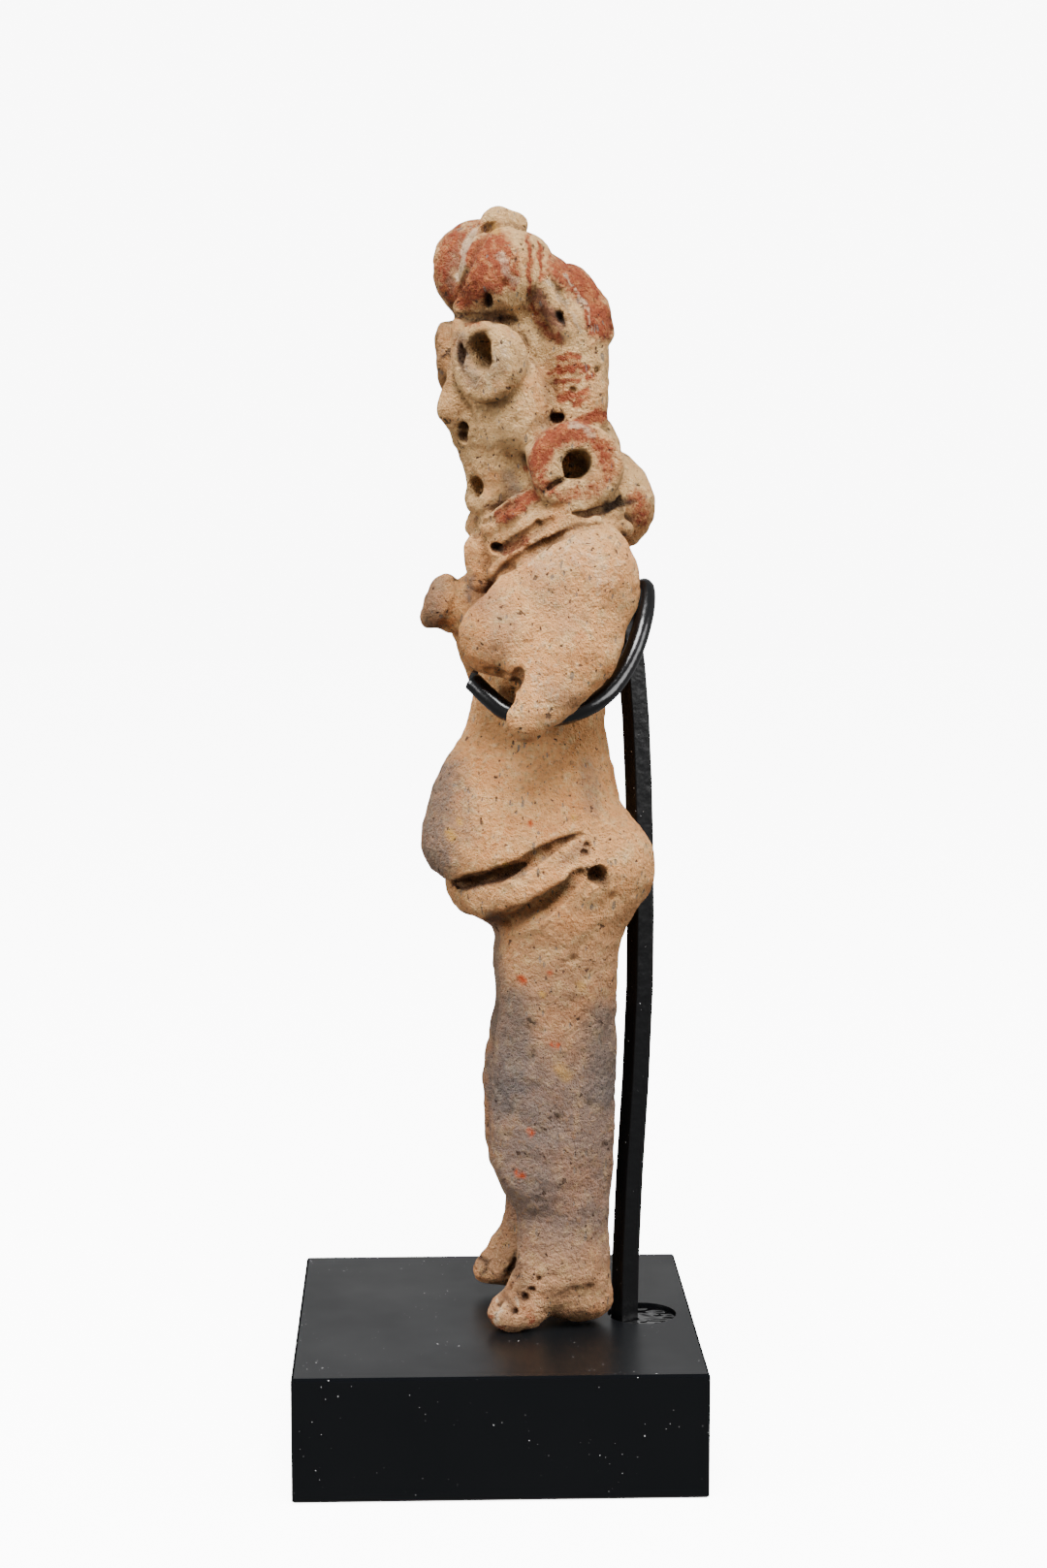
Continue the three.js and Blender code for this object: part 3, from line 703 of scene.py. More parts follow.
def net_over(clay):
    """A closed mesh of quads: one point in each cell that the surface crosses."""
    field = clay.distance
    shape = np.array(field.shape)
    inside = field < 0

    def shifted(values, corner):
        i, j, k = corner_step(corner)
        return values[i:shape[0] - 1 + i, j:shape[1] - 1 + j, k:shape[2] - 1 + k]

    some = np.zeros(shape - 1, bool)
    every = np.ones(shape - 1, bool)
    for corner in range(8):
        some |= shifted(inside, corner)
        every &= shifted(inside, corner)
    cells = np.argwhere(some & ~every)
    number = np.full(shape - 1, -1, np.int64)
    number[tuple(cells.T)] = np.arange(len(cells))
    total = np.zeros((len(cells), 3))
    crossings = np.zeros(len(cells))
    for a, b in CELL_EDGES:
        first = field[tuple((cells + corner_step(a)).T)]
        second = field[tuple((cells + corner_step(b)).T)]
        crossed = (first < 0) != (second < 0)
        part = np.where(crossed, first / np.where(crossed, first - second, 1.0), 0.0)
        place = corner_step(a) + part[:, None] * (corner_step(b) - corner_step(a))
        total += np.where(crossed[:, None], place, 0.0)
        crossings += crossed
    points = clay.low + clay.pitch * (cells + total / crossings[:, None])
    quads = []
    for axis in range(3):
        one, two = (axis + 1) % 3, (axis + 2) % 3
        here = [slice(1, n - 1) for n in shape]
        there = list(here)
        here[axis] = slice(0, shape[axis] - 1)
        there[axis] = slice(1, shape[axis])
        start, end = inside[tuple(here)], inside[tuple(there)]
        offset = np.array([1, 1, 1])
        offset[axis] = 0
        for crossed, flip in ((start & ~end, False), (~start & end, True)):
            edge = np.argwhere(crossed) + offset
            ring = []
            for back_one, back_two in ((0, 0), (1, 0), (1, 1), (0, 1)):
                cell = edge.copy()
                cell[:, one] -= back_one
                cell[:, two] -= back_two
                ring.append(number[tuple(cell.T)])
            quad = np.stack(ring, 1)
            quads.append(quad[:, ::-1] if flip else quad)
    return points, np.concatenate(quads)


def settle(clay, points):
    """Moves points of the net onto the surface itself."""
    for _ in range(2):
        points = points - clay.slope(points) * clay.sample(points)[:, None] * 0.8
    return points


# Roughness of the clay

LATTICE = 32
lattice_values = np.random.default_rng(11).uniform(-1, 1, (LATTICE, LATTICE, LATTICE))


def noise(points, size, shift=0.0):
    """Smooth random values from -1 to 1 that change over the given size."""
    place = np.asarray(points) / size + shift
    cell = np.floor(place).astype(int)
    part = place - cell
    part = part * part * (3 - 2 * part)
    total = np.zeros(len(place))
    for corner in range(8):
        step = corner_step(corner)
        weight = np.prod(np.where(step, part, 1 - part), axis=1)
        i, j, k = ((cell + step) % LATTICE).T
        total += weight * lattice_values[i, j, k]
    return total


# Depth, size and shift of each layer of unevenness, and the number and radii of the pits

UNEVEN_LAYERS = ((0.26, 6.0, 0.0), (0.20, 2.4, 5.3), (0.15, 1.2, 9.1))
PIT_COUNT = 420
PIT_SIZES = (0.45, 1.1)


def roughen(clay, points):
    """Hand-pressed unevenness, grain and pits, along the surface's own direction."""
    out = clay.slope(points)
    uneven = sum(depth * noise(points, size, shift) for depth, size, shift in UNEVEN_LAYERS)
    chance = np.random.default_rng(5)
    for pit in chance.choice(len(points), PIT_COUNT, replace=False):
        size = chance.uniform(*PIT_SIZES) * chance.uniform(0.6, 1.0)
        away = np.abs(points - points[pit]).max(1)
        close = np.flatnonzero(away < size)
        share = np.linalg.norm(points[close] - points[pit], axis=1) / size
        uneven[close] -= 0.55 * size * np.maximum(1 - share * share, 0)
    return points + out * uneven[:, None]


def linked(name, data):
    obj = bpy.data.objects.new(name, data)
    bpy.context.scene.collection.objects.link(obj)
    return obj


def rings_object(name, points, around, caps):
    """A smooth skin over rings of this many points each, listed one ring after another."""
    faces = list(caps)
    for first in range(0, len(points) - around, around):
        for turn in range(around):
            one, two = first + turn, first + (turn + 1) % around
            faces.append((one, two, two + around, one + around))
    mesh = bpy.data.meshes.new(name)
    mesh.from_pydata([tuple(place) for place in points], [], faces)
    mesh.shade_smooth()
    return linked(name, mesh)


def mesh_object(name, points, faces):
    mesh = bpy.data.meshes.new(name)
    mesh.vertices.add(len(points))
    mesh.vertices.foreach_set("co", (row_from_figure(points) * MM).astype(np.float32).ravel())
    sides = faces.shape[1]
    mesh.loops.add(faces.size)
    mesh.loops.foreach_set("vertex_index", faces.astype(np.int32).ravel())
    mesh.polygons.add(len(faces))
    mesh.polygons.foreach_set("loop_start", np.arange(0, faces.size, sides, dtype=np.int32))
    mesh.polygons.foreach_set("loop_total", np.full(len(faces), sides, np.int32))
    mesh.update(calc_edges=True)
    mesh.validate()
    return linked(name, mesh)


def thin(obj, triangles):
    """Leaves the object no more than this many triangles, with the modifier applied."""
    now = sum(len(face.vertices) - 2 for face in obj.data.polygons)
    if now > triangles:
        shrink = obj.modifiers.new("thin", "DECIMATE")
        shrink.ratio = triangles / now
        shrink.use_collapse_triangulate = True
        graph = bpy.context.evaluated_depsgraph_get()
        finished = bpy.data.meshes.new_from_object(obj.evaluated_get(graph))
        obj.modifiers.clear()
        obj.data = finished
    obj.data.shade_smooth()


WIRE_AROUND = 20
WIRE_END_EDGE = (0.08, 0.1)


def make_wire():
    """The wire as a round tube, cut square at both ends."""
    line = wire_line(6)
    along = np.gradient(line, axis=0)
    along /= np.linalg.norm(along, axis=1, keepdims=True)
    edge_length, edge_drop = WIRE_END_EDGE
    first_rim = line[:1] + edge_length * along[:1]
    last_rim = line[-1:] - edge_length * along[-1:]
    line = np.concatenate([line[:1], first_rim, line[1:-1], last_rim, line[-1:]])
    along = np.concatenate([along[:1], along, along[-1:]])
    radii = np.full(len(line), WIRE_RADIUS)
    radii[[0, -1]] -= edge_drop
    up = np.array([0.0, 0.0, 1.0])
    points = []
    for place, way, radius in zip(line, along, radii):
        side = np.cross(way, up)
        side /= np.linalg.norm(side)
        up = np.cross(side, way)
        for turn in np.arange(WIRE_AROUND) * 2 * math.pi / WIRE_AROUND:
            points.append(place + radius * (math.cos(turn) * side + math.sin(turn) * up))
    caps = (range(WIRE_AROUND)[::-1], range(len(points) - WIRE_AROUND, len(points)))
    return rings_object("wire_tube", row_from_figure(points) * MM, WIRE_AROUND, map(tuple, caps))


def mesh_points(mesh):
    """The mesh's points in the figure's frame, in millimetres."""
    places = np.zeros(len(mesh.vertices) * 3, np.float32)
    mesh.vertices.foreach_get("co", places)
    return figure_from_row(places.reshape(-1, 3).astype(float) / MM)


def store(mesh, name, values):
    layer = mesh.attributes.new(name, "FLOAT", "POINT")
    layer.data.foreach_set("value", np.clip(values, 0, 1).astype(np.float32))


# Colour masks of the clay


def near_line(points, places, radius, soft):
    """One within a radius of a line of places and zero beyond a soft edge."""
    nearest = np.full(len(points), 1e3)
    for start, end in zip(places[:-1], places[1:]):
        run = end - start
        along = np.clip((points - start) @ run / (run @ run), 0, 1)
        nearest = np.minimum(nearest, np.linalg.norm(points - start - along[:, None] * run, axis=1))
    return np.clip((radius + soft - nearest) / (2 * soft), 0, 1)


def pixels_of(points):
    """Where the photograph shows these places."""
    away = row_from_figure(points) - np.array(CAMERA_PLACE)
    depth = away @ camera_view
    across = PHOTO_CENTRE[0] + FOCAL_PIXELS * (away @ camera_right) / depth
    down = PHOTO_CENTRE[1] - FOCAL_PIXELS * (away @ camera_up) / depth
    return np.stack([across, down], 1)


# What is painted or stained on the near side, and the shade painted into its holes, creases and shadowed
# places: half width in pixels, strength and a line of pixels

RED_SLIP = (
    (16, 0.9, (487, 264), (512, 254), (520, 284), (492, 300), (478, 305)),
    (12, 0.9, (500, 280), (484, 296)),
    (9, 0.6, (466, 252), (480, 240), (492, 232)),
    (8, 0.75, (472, 234), (459, 254), (454, 286)),
    (6, 0.7, (456, 298), (466, 308)),
    (3, 0.75, (533, 256), (531, 298)),
    (3.5, 0.85, (545, 243), (546, 300)),
    (3, 0.85, (557, 250), (556, 290)),
    (2.5, 0.75, (568, 262), (562, 284)),
    (17, 0.85, (578, 278), (594, 286), (607, 302), (616, 320), (620, 334)),
    (6, 0.65, (548, 316), (560, 338), (574, 350)),
    (6, 0.6, (560, 498), (584, 516), (612, 508)),
    (4, 1.0, (584, 284), (598, 304), (608, 334)),
    (5, 1.0, (598, 282), (614, 300), (622, 326)),
    (4, 0.7, (480, 333), (493, 335)),
    (5, 1.0, (577, 370), (598, 368)),
    (4, 0.95, (570, 382), (606, 379)),
    (3.5, 0.9, (574, 394), (608, 389)),
    (4.5, 0.95, (577, 410), (606, 405)),
    (3, 0.85, (588, 420), (607, 413)),
    (7, 1.0, (596, 436), (612, 430), (630, 427)),
    (13, 0.95, (554, 480), (562, 458), (581, 446), (600, 444)),
    (9, 0.8, (612, 450), (626, 464), (630, 486)),
    (10, 0.75, (554, 492), (566, 505)),
    (9, 0.6, (590, 510), (612, 504), (626, 494)),
    (4, 0.5, (590, 440), (612, 444)),
    (9, 0.9, (518, 531), (538, 519), (550, 512)),
    (7, 0.7, (520, 567), (541, 557)),
    (11, 0.75, (657, 512), (662, 536)),
    (4, 0.4, (502, 962), (506, 960)),
    (4, 0.6, (542, 1350), (548, 1364)),
    (4, 0.75, (503, 1360), (508, 1370), (518, 1371)),
)
PURPLE_SLIP = (
    (10, 0.8, (555, 306), (566, 322), (575, 333)),
    (6, 0.7, (566, 340), (580, 352)),
    (10, 0.8, (474, 246), (466, 270), (461, 304)),
)
# Grey smoke marks, with painted shade where the chest lies in shadow below the necklace
SMOKE_AND_SHADE = (
    (26, 1.0, (450, 800), (444, 850), (448, 885)),
    (14, 0.5, (476, 820), (478, 860)),
    (9, 0.75, (508, 950), (511, 1010), (513, 1060)),
    (20, 0.8, (528, 1035), (530, 1085), (524, 1130)),
    (14, 0.4, (545, 1080), (548, 1150)),
    (17, 0.75, (624, 1050), (622, 1085), (624, 1125)),
    (22, 0.35, (556, 1180), (560, 1220)),
    (8, 0.65, (476, 350), (480, 376), (488, 392)),
    (9, 0.35, (500, 392), (514, 380)),
    (8, 0.7, (524, 492), (531, 506)),
    (4, 0.8, (486, 594), (484, 620)),
    (14, 0.6, (447, 600), (446, 640)),
    (16, 0.4, (500, 618), (520, 640), (512, 668)),
    (18, 0.3, (560, 600), (586, 640)),
    (12, 0.4, (570, 712), (590, 722)),
    (10, 0.45, (606, 790), (612, 830)),
    (6, 0.5, (580, 888), (604, 876)),
    (4, 0.6, (476, 915), (507, 910), (537, 898)),
)
PALE_SCARS = (
    (3.5, 0.9, (489, 236), (480, 260), (474, 285)),
    (3, 0.7, (564, 289), (585, 315), (597, 339)),
    (6, 0.6, (515, 262), (530, 290)),
    (9, 0.5, (512, 372), (524, 352)),
    (5, 0.6, (590, 438), (612, 446)),
    (24, 0.45, (560, 576), (600, 566), (620, 590)),
    (18, 0.35, (556, 690), (570, 740)),
    (3, 0.9, (513, 1340), (517, 1351)),
    (3, 0.9, (509, 1356), (514, 1368)),
    (1.5, 0.8, (532, 1340), (536, 1348)),
    (1.8, 0.9, (590, 292), (603, 312), (612, 340)),
    (1.5, 0.8, (582, 282), (596, 300), (600, 318)),
)
# Dark strokes: painted shade in the holes, slots, grooves and creases and on the shadowed far eye disc, and
# real dark stains on the toe
SHADE_AND_STAINS = (
    (2.5, 1.0, (456, 369), (463, 367)),
    (9, 0.55, (494, 352), (500, 372)),
    (2.5, 0.6, (475, 356), (475, 380)),
    (3, 0.8, (508, 563), (516, 567)),
    (2, 0.5, (512, 1330), (516, 1338)),
    (2, 0.5, (534, 1340), (540, 1336)),
    (9, 0.55, (588, 470), (600, 482)),
    (4, 0.9, (572, 431), (580, 429)),
    (1.6, 0.7, (561, 507), (578, 498), (586, 488)),
    (5, 0.9, (626, 524), (648, 516)),
    (1.4, 0.8, (466, 324), (494, 329), (532, 331)),
    (3, 0.9, (502, 306), (505, 316)),
    (3, 0.9, (576, 322), (581, 334)),
    (8, 0.8, (612, 900), (622, 906)),
    (2, 0.7, (534, 1292), (524, 1314)),
    (3, 0.8, (492, 1296), (504, 1300), (500, 1312)),
    (2, 0.9, (546, 1052), (552, 1055)),
    (12, 0.3, (452, 344), (454, 392)),
    (9, 0.3, (437, 602), (440, 640)),
    (7, 0.6, (532, 1308), (540, 1324), (536, 1338)),
    (4, 0.6, (520, 1330), (530, 1350)),
    (4, 0.4, (508, 1372), (516, 1378)),
)
# Tan clay, with painted shadow on the far eye disc and on the chest below the necklace
TAN_AND_SHADE_MARKS = (
    (12, 0.8, (452, 344), (454, 392)),
    (9, 0.5, (458, 404), (460, 436), (472, 420)),
    (12, 0.6, (494, 590), (488, 640), (476, 670)),
    (14, 0.5, (436, 600), (448, 640)),
    (6, 0.7, (500, 236), (510, 232)),
    (8, 0.7, (500, 990), (492, 1100), (500, 1200), (515, 1250)),
    (10, 0.4, (540, 1350), (530, 1330)),
)
BRICK_GRAINS = (
    (2.2, 1.0, (547, 848), (548, 851)),
    (3.2, 1.0, (536, 1008), (541, 1012)),
    (2.2, 1.0, (570, 1077), (575, 1078)),
    (2.6, 1.0, (546, 1166), (549, 1169)),
    (3, 1.0, (534, 1210), (539, 1213)),
    (2.2, 0.9, (566, 1003), (568, 1004)),
    (2, 0.9, (499, 955), (500, 957)),
)
YELLOW_GRAINS = (
    (2.8, 1.0, (521, 892), (524, 894)),
    (4, 0.7, (463, 858), (467, 864)),
    (2.5, 0.6, (473, 845), (475, 850)),
    (2, 0.8, (590, 841), (592, 844)),
    (2, 0.8, (558, 1024), (561, 1027)),
    (4, 0.5, (598, 1015), (600, 1018)),
    (6, 0.45, (577, 1102), (584, 1110)),
    (4, 0.6, (508, 232), (512, 238)),
)


def painted(pixels, marks):
    total = np.zeros(len(pixels))
    for radius, strength, *line in marks:
        near = near_line(pixels, np.array(line, float), radius, radius * 0.5)
        total = np.maximum(total, strength * near)
    return total


def masks(clay, points):
    side, back, rise = points.T
    out = clay.slope(points)
    facing = np.clip(-3 * (out @ (figure_turn.T @ camera_view)) + 0.6, 0, 1)
    ragged = np.stack([noise(points, 1.3, 2.0), noise(points, 1.3, 7.0)], 1)
    pixels = pixels_of(points) + 4 * ragged
    headward = np.clip((rise - 126) / 8, 0, 1)
    hidden = 1 - facing
    patches = np.clip(noise(points, 7.0, 3.0) * 2.5, 0, 1)
    stripes = np.clip(2 * np.sin(rise * 1.3 + noise(points, 5.0)), 0, 1) * np.clip((rise - 142) / 6, 0, 1)
    hair = np.clip((back - 2) / 4, 0, 1) * headward
    sooty = np.clip(noise(points, 13.0, 4.4) * 2 - 0.4, 0, 1)
    return {
        "headward": headward,
        "legward": np.clip((74 - rise) / 34, 0, 1) * (1 - 0.5 * np.clip((18 - rise) / 10, 0, 1)),
        # painted shade and dirt in the hollows: more where other clay lies within 1.8 mm out from the
        # surface
        "hollow": np.clip(1 - clay.sample(points + out * 1.8) / 1.8, 0, 1),
        "red": facing * painted(pixels, RED_SLIP) + hidden * hair * 0.7 * np.maximum(patches, stripes),
        "purple": facing * painted(pixels, PURPLE_SLIP),
        # grey smoke marks and painted shade
        "smoke_and_shade": facing * painted(pixels, SMOKE_AND_SHADE) + hidden * 0.7 * sooty,
        "pale": facing * painted(pixels, PALE_SCARS),
        # painted shade in holes and creases, and real dark stains
        "shade_and_stains": facing * painted(pixels, SHADE_AND_STAINS),
        # tan clay and painted shadow
        "tan_and_shade": facing * painted(pixels, TAN_AND_SHADE_MARKS),
        "brick": facing * painted(pixels_of(points), BRICK_GRAINS),
        "yellow": facing * painted(pixels_of(points), YELLOW_GRAINS),
    }


# Node materials


class Look:
    """A material and the nodes that make it up."""

    def __init__(self, name):
        self.material = bpy.data.materials.new(name)
        self.material.use_nodes = True
        self.nodes = self.material.node_tree.nodes
        self.links = self.material.node_tree.links
        self.inputs = self.nodes["Principled BSDF"].inputs

    def feed(self, value, socket):
        """Sets a socket to a constant, or links it to a node's output."""
        if hasattr(value, "is_output"):
            self.links.new(value, socket)
        else:
            socket.default_value = value

    def mix(self, factor, first, second):
        node = self.nodes.new("ShaderNodeMix")
        node.data_type = "RGBA"
        for name, value in (("Factor", factor), ("A", first), ("B", second)):
            self.feed(value, [socket for socket in node.inputs if socket.name == name and socket.enabled][0])
        return [socket for socket in node.outputs if socket.enabled][0]

    def attribute(self, name):
        node = self.nodes.new("ShaderNodeAttribute")
        node.attribute_name = name
        return node.outputs["Fac"]

    def own_place(self, **settings):
        """The place on the object, after a mapping with these settings."""
        node = self.nodes.new("ShaderNodeMapping")
        for name, value in settings.items():
            node.inputs[name].default_value = value
        self.links.new(self.nodes.new("ShaderNodeTexCoord").outputs["Object"], node.inputs["Vector"])
        return node.outputs["Vector"]

    def noise(self, size, detail=3.0, roughness=0.6, shift=0.0):
        """Noise whose blotches are about the given size in millimetres."""
        node = self.nodes.new("ShaderNodeTexNoise")
        self.links.new(self.own_place(Location=(shift, shift, shift)), node.inputs["Vector"])
        node.inputs["Scale"].default_value = 1 / (size * MM)
        node.inputs["Detail"].default_value = detail
        node.inputs["Roughness"].default_value = roughness
        return node.outputs["Fac"]

    def cells(self, size, stretch, turn):
        """Distance to the middles of cells of the given size in millimetres, one for a whole cell."""
        node = self.nodes.new("ShaderNodeTexVoronoi")
        self.links.new(self.own_place(Rotation=turn, Scale=stretch), node.inputs["Vector"])
        node.inputs["Scale"].default_value = 1 / (size * MM)
        return node.outputs["Distance"]

    def reckon(self, operation, first, second, clamp=False):
        node = self.nodes.new("ShaderNodeMath")
        node.operation = operation
        node.use_clamp = clamp
        self.feed(first, node.inputs[0])
        self.feed(second, node.inputs[1])
        return node.outputs["Value"]

    def plus(self, first, second, clamp=False):
        return self.reckon("ADD", first, second, clamp)

    def minus(self, first, second, clamp=False):
        return self.reckon("SUBTRACT", first, second, clamp)

    def times(self, first, second, clamp=False):
        return self.reckon("MULTIPLY", first, second, clamp)

    def stepped(self, value, low, high):
        """Zero below the low value and one above the high one."""
        return self.reckon("DIVIDE", self.minus(value, low), high - low, clamp=True)

    def worn(self, mask, pattern):
        """The mask with its weaker parts broken up by a pattern."""
        gaps = self.times(self.minus(pattern, 0.5), 2.6)
        full = self.minus(self.times(mask, 1.9), 0.55)
        return self.times(self.plus(full, gaps, clamp=True), self.stepped(mask, 0.0, 0.15))

    def laid(self, below, above, factor, share):
        """A colour laid over another by a factor, at no more than this share."""
        return self.mix(self.times(factor, share), below, above)

    def bump(self, height, depth):
        """Tilts the surface as if the height, from 0 to 1, were this many millimetres."""
        node = self.nodes.new("ShaderNodeBump")
        node.inputs["Distance"].default_value = depth * MM
        self.links.new(height, node.inputs["Height"])
        self.links.new(node.outputs["Normal"], self.inputs["Normal"])


def linear(red, green, blue):
    """A colour given as the photograph's values, from 0 to 255."""
    values = []
    for value in (red, green, blue):
        share = value / 255
        values.append(share / 12.92 if share <= 0.04045 else ((share + 0.055) / 1.055) ** 2.4)
    return (*values, 1.0)


# Colours of the clay, of what lies on it and of the shade painted into it

BODY = linear(230, 164, 104)
CREAM = linear(214, 168, 112)
PINK = linear(138, 113, 98)
ORANGE = linear(212, 136, 78)
BUFF = linear(236, 194, 134)
BROWN = linear(150, 106, 66)
PALE = linear(242, 208, 156)
SMOKE_AND_SHADE_GREY = linear(88, 88, 88)
SLIP_PURPLE = linear(122, 68, 54)
SLIP_RED = linear(138, 52, 26)
LIME = linear(226, 198, 162)
BRICK = linear(190, 78, 28)
YELLOW = linear(214, 160, 62)
CHAFF_GREY = linear(132, 118, 106)
PIT_DARK = linear(78, 56, 38)
HOLLOW_SHADE_AND_DIRT = linear(96, 62, 38)
SHADE_AND_STAIN_DARK = linear(44, 34, 26)
TAN_AND_SHADE_BROWN = linear(186, 124, 72)
BLOCK_BLACK = linear(10, 11, 13)
RESIN_BLACK = linear(6, 6, 7)
ROD_BLACK = linear(7, 7, 8)
SLEEVE_BLACK = linear(8, 8, 9)
DUST = linear(190, 190, 190)
BLOCK_SHINE = 0.19
BLOCK_ROUGHNESS = 0.30


def clay_material():
    look = Look("terracotta")
    broad = look.noise(7.0)
    middling = look.noise(2.6, shift=0.3)
    fine = look.noise(0.9, 4.0, 0.7, shift=0.7)
    grain = look.noise(0.4, 3.0, 0.7, shift=1.1)
    strokes = look.noise(1.4, 4.0, 0.7, shift=1.9)
    legward = look.attribute("legward")
    above_legs = look.minus(1.0, look.times(legward, 0.65))

    colour = look.mix(look.attribute("headward"), BODY, CREAM)
    colour = look.mix(legward, colour, PINK)
    colour = look.laid(colour, ORANGE, look.times(look.stepped(broad, 0.50, 0.66), above_legs), 0.55)
    colour = look.laid(colour, BUFF, look.times(look.stepped(middling, 0.50, 0.72), above_legs), 0.7)
    colour = look.laid(colour, BROWN, look.stepped(fine, 0.54, 0.72), 0.75)
    colour = look.laid(colour, PALE, look.times(look.stepped(strokes, 0.55, 0.74), above_legs), 0.6)
    # tan clay and painted shadow
    colour = look.laid(colour, TAN_AND_SHADE_BROWN, look.attribute("tan_and_shade"), 0.8)
    # grey smoke marks and painted shade
    smoke_and_shade = look.times(look.attribute("smoke_and_shade"), look.plus(strokes, 0.45), clamp=True)
    colour = look.laid(colour, SMOKE_AND_SHADE_GREY, smoke_and_shade, 0.78)
    colour = look.laid(colour, SLIP_PURPLE, look.worn(look.attribute("purple"), strokes), 0.85)
    slip = look.worn(look.attribute("red"), fine)
    colour = look.laid(colour, SLIP_RED, slip, 0.92)
    colour = look.laid(colour, ORANGE, look.times(slip, look.stepped(strokes, 0.48, 0.66)), 0.5)
    colour = look.laid(colour, LIME, look.worn(look.attribute("pale"), strokes), 0.6)
    colour = look.mix(look.attribute("brick"), colour, BRICK)
    colour = look.laid(colour, YELLOW, look.attribute("yellow"), 0.8)

    leaning = look.cells(1.5, (1.0, 1.0, 0.30), (0.6, 0.5, 0.2))
    steep = look.cells(1.2, (1.0, 1.0, 0.26), (-0.3, -0.2, 0.1))
    chaff = look.stepped(look.minus(middling, look.reckon("MINIMUM", leaning, steep)), 0.40, 0.46)
    colour = look.laid(colour, CHAFF_GREY, chaff, 0.65)
    open_pits = look.stepped(look.noise(1.5, 2.0, 0.55, 2.3), 0.68, 0.72)
    pin_holes = look.stepped(look.noise(0.7, 1.0, 0.5, 2.9), 0.71, 0.75)
    holes = look.reckon("MAXIMUM", open_pits, pin_holes)
    colour = look.laid(colour, PIT_DARK, holes, 0.8)
    # painted shade and dirt in the hollows
    colour = look.laid(colour, HOLLOW_SHADE_AND_DIRT, look.stepped(look.attribute("hollow"), 0.25, 0.9), 0.85)
    # painted shade in holes and creases, and real dark stains
    colour = look.laid(colour, SHADE_AND_STAIN_DARK, look.attribute("shade_and_stains"), 0.95)
    look.feed(colour, look.inputs["Base Color"])
    look.inputs["Roughness"].default_value = 0.88
    look.inputs["Specular IOR Level"].default_value = 0.25

    relief = look.plus(fine, look.times(strokes, 0.5))
    relief = look.plus(relief, look.times(grain, 0.45))
    relief = look.minus(relief, look.times(holes, 0.9))
    relief = look.minus(relief, look.times(chaff, 0.25))
    look.bump(relief, 2.4)
    return look.material


def black_look(name, colour, roughness, shine):
    look = Look(name)
    look.inputs["Base Color"].default_value = colour
    look.inputs["Roughness"].default_value = roughness
    look.inputs["Specular IOR Level"].default_value = shine
    return look


def block_material():
    """Satin black with white dust on it, and duller on the chamfers between level and upright faces."""
    look = black_look("block_black", BLOCK_BLACK, BLOCK_ROUGHNESS, BLOCK_SHINE)
    split = look.nodes.new("ShaderNodeSeparateXYZ")
    look.feed(look.nodes.new("ShaderNodeNewGeometry").outputs["Normal"], split.inputs["Vector"])
    slanting = look.times(split.outputs["Z"], look.minus(1.0, split.outputs["Z"]))
    look.feed(look.minus(BLOCK_SHINE, slanting, clamp=True), look.inputs["Specular IOR Level"])
    specks = look.stepped(look.noise(0.5, 1.0, 0.5), 0.75, 0.78)
    clumps = look.stepped(look.noise(9.0, 2.0, 0.5, 0.4), 0.50, 0.60)
    look.feed(look.mix(look.times(specks, clumps), BLOCK_BLACK, DUST), look.inputs["Base Color"])
    handled = look.stepped(look.noise(22.0, 3.0, 0.6, 0.9), 0.35, 0.65)
    look.feed(look.plus(look.times(handled, 0.08), BLOCK_ROUGHNESS), look.inputs["Roughness"])
    return look.material


def resin_material():
    """Glossy black, uneven, with pale scuffs."""
    look = black_look("resin_black", RESIN_BLACK, 0.1, 0.5)
    scuffs = look.stepped(look.noise(1.0, 3.0, 0.6, 0.2), 0.72, 0.76)
    look.feed(look.mix(scuffs, RESIN_BLACK, DUST), look.inputs["Base Color"])
    look.bump(look.noise(2.2, 1.0, 0.4), 0.8)
    return look.material


def rod_material():
    """Black paint over a slightly uneven bar."""
    look = black_look("rod_black", ROD_BLACK, 0.30, 0.26)
    specks = look.stepped(look.noise(0.5, 1.0, 0.5, 1.3), 0.79, 0.81)
    look.feed(look.mix(specks, ROD_BLACK, DUST), look.inputs["Base Color"])
    look.bump(look.noise(1.6, 2.0, 0.5, 0.1), 0.10)
    return look.material


def sleeve_material():
    look = black_look("sleeve_black", SLEEVE_BLACK, 0.22, 0.5)
    look.bump(look.noise(3.0, 2.0, 0.5), 0.12)
    return look.material


def dress(node, material):
    node.data.materials.clear()
    node.data.materials.append(material)


# The camera, the light and the floor, in metres

STUDIO_MIDDLE = (0.0, 0.0, 0.11)
ROOM_LIGHT = 0.3
FLOOR_GAP = 0.0002
FLOOR_REACH = 1.6
WALL_BEND = 0.8
WALL_TOP = 3.0
BEND_STEPS = 12
FLOOR_AROUND = 48
PAPER_GLOW = 8.5


def make_camera():
    data = bpy.data.cameras.new("photo_camera")
    camera = linked("photo_camera", data)
    data.sensor_width = SENSOR
    data.lens = FOCAL_PIXELS / PHOTO_HEIGHT * SENSOR
    data.clip_start = 0.01
    camera.location = Vector(CAMERA_PLACE) * MM
    camera.rotation_euler = Vector(camera_view).to_track_quat("-Z", "Y").to_euler()
    bpy.context.scene.camera = camera


def add_light(name, place, size, power, target=STUDIO_MIDDLE):
    data = bpy.data.lights.new(name, "AREA")
    data.shape = "DISK"
    data.size = size
    data.energy = power
    light = linked(name, data)
    light.location = place
    light.rotation_euler = (Vector(target) - Vector(place)).to_track_quat("-Z", "Y").to_euler()
    light.visible_camera = False


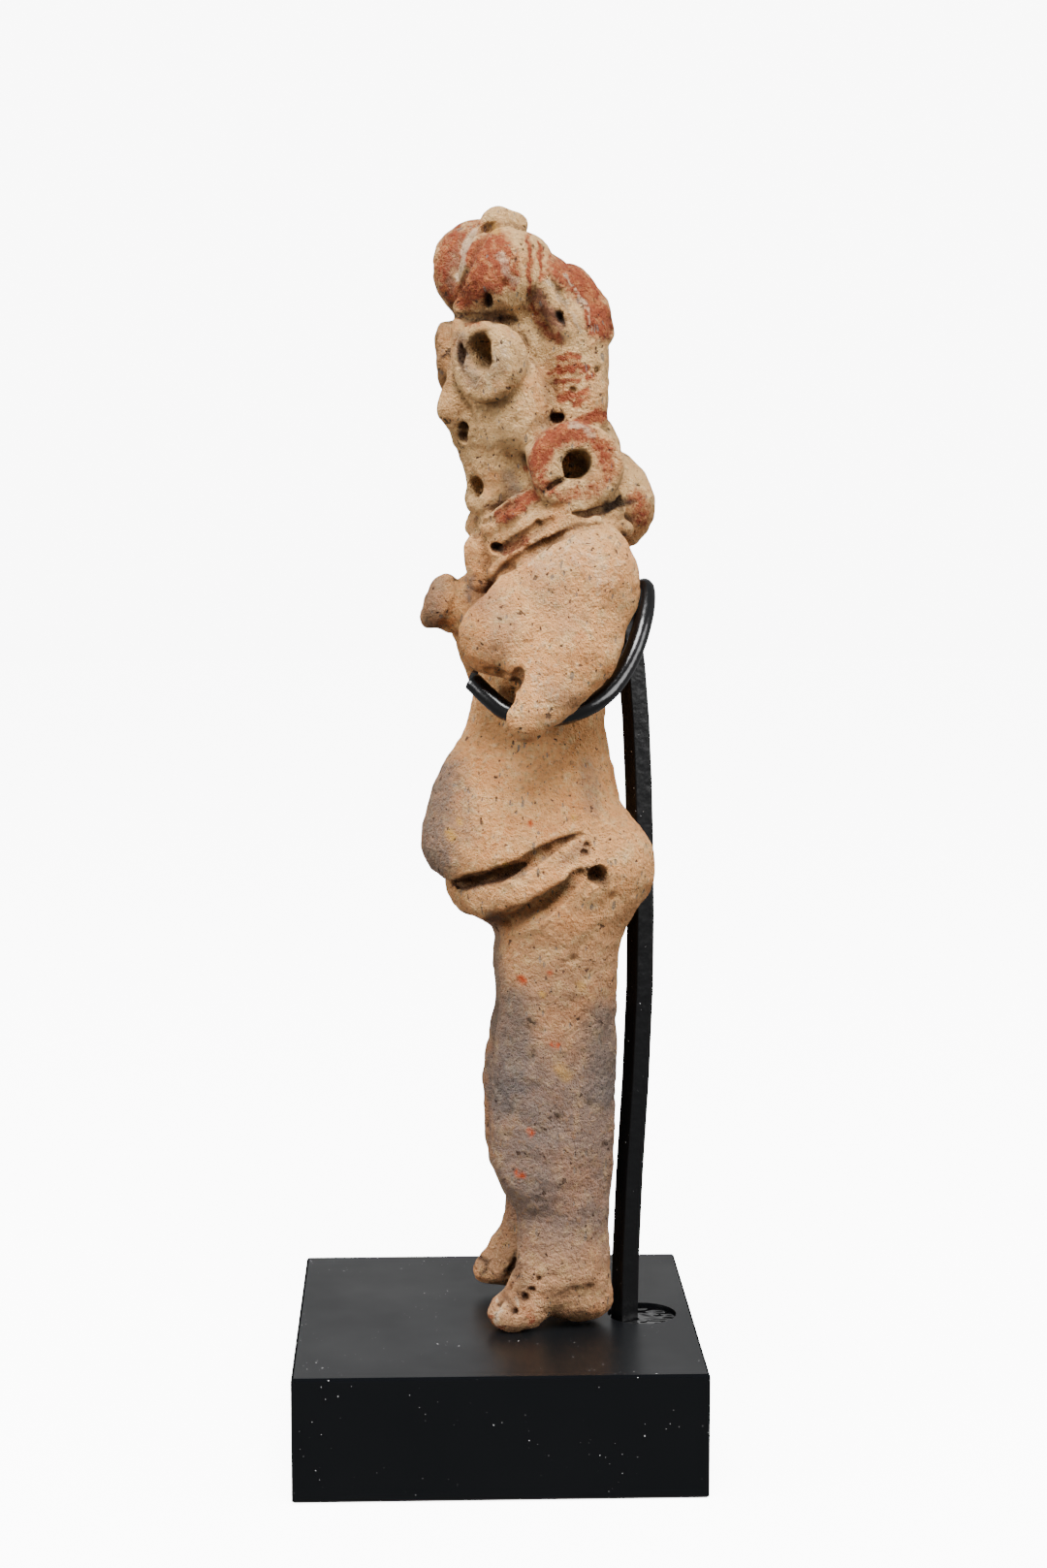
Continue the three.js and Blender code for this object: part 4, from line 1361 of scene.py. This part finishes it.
def paper_material():
    """White paper that is lit past white, as an overlit sweep is."""
    look = Look("paper_white")
    look.inputs["Base Color"].default_value = (0.9, 0.9, 0.9, 1.0)
    look.inputs["Roughness"].default_value = 0.9
    look.inputs["Emission Color"].default_value = (1.0, 1.0, 1.0, 1.0)
    look.inputs["Emission Strength"].default_value = PAPER_GLOW
    return look.material


def make_sweep():
    """A round floor that curves up into a wall on every side."""
    profile = [(0.0, 0.0), (FLOOR_REACH, 0.0)]
    for step in range(1, BEND_STEPS + 1):
        angle = math.radians(90 * step / BEND_STEPS)
        profile.append((FLOOR_REACH + WALL_BEND * math.sin(angle), WALL_BEND * (1 - math.cos(angle))))
    profile.append((FLOOR_REACH + WALL_BEND, WALL_TOP))
    points = []
    for reach, rise in reversed(profile):
        for turn in range(FLOOR_AROUND):
            angle = 2 * math.pi * turn / FLOOR_AROUND
            points.append((reach * math.cos(angle), reach * math.sin(angle), rise - FLOOR_GAP))
    sweep = rings_object("floor", points, FLOOR_AROUND, [])
    sweep.visible_diffuse = False
    sweep.visible_glossy = False
    dress(sweep, paper_material())


def make_studio():
    add_light("overhead", (0.45, 0.0, 0.95), 0.6, 32)
    add_light("left", (0.3, -0.9, 0.45), 0.5, 10.5)
    add_light("right", (0.3, 0.9, 0.45), 0.6, 8)
    add_light("backdrop", (-1.4, 0.0, 0.45), 1.2, 1.5, target=(0.0, 0.0, 0.05))
    world = bpy.data.worlds.new("studio")
    bpy.context.scene.world = world
    world.use_nodes = True
    background = world.node_tree.nodes["Background"]
    background.inputs["Color"].default_value = (1.0, 1.0, 1.0, 1.0)
    background.inputs["Strength"].default_value = ROOM_LIGHT
    make_sweep()


# The whole scene

FIGURE_TRIANGLES = 190000

make_camera()
make_studio()

clay = make_clay()
net_points, net_faces = net_over(clay)
net_points = settle(clay, net_points)
figure = mesh_object("clay_figure", roughen(clay, net_points), net_faces)
thin(figure, FIGURE_TRIANGLES)
for mask_name, mask_values in masks(clay, mesh_points(figure.data)).items():
    store(figure.data, mask_name, mask_values)
dress(figure, clay_material())
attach(figure, "root")
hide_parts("figure")

dress(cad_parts["base_block"], block_material())
dress(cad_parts["rod_setting"], resin_material())
dress(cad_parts["support_rod"], rod_material())
wire = make_wire()
dress(wire, sleeve_material())
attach(wire, "root")
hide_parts("cradle_wire")
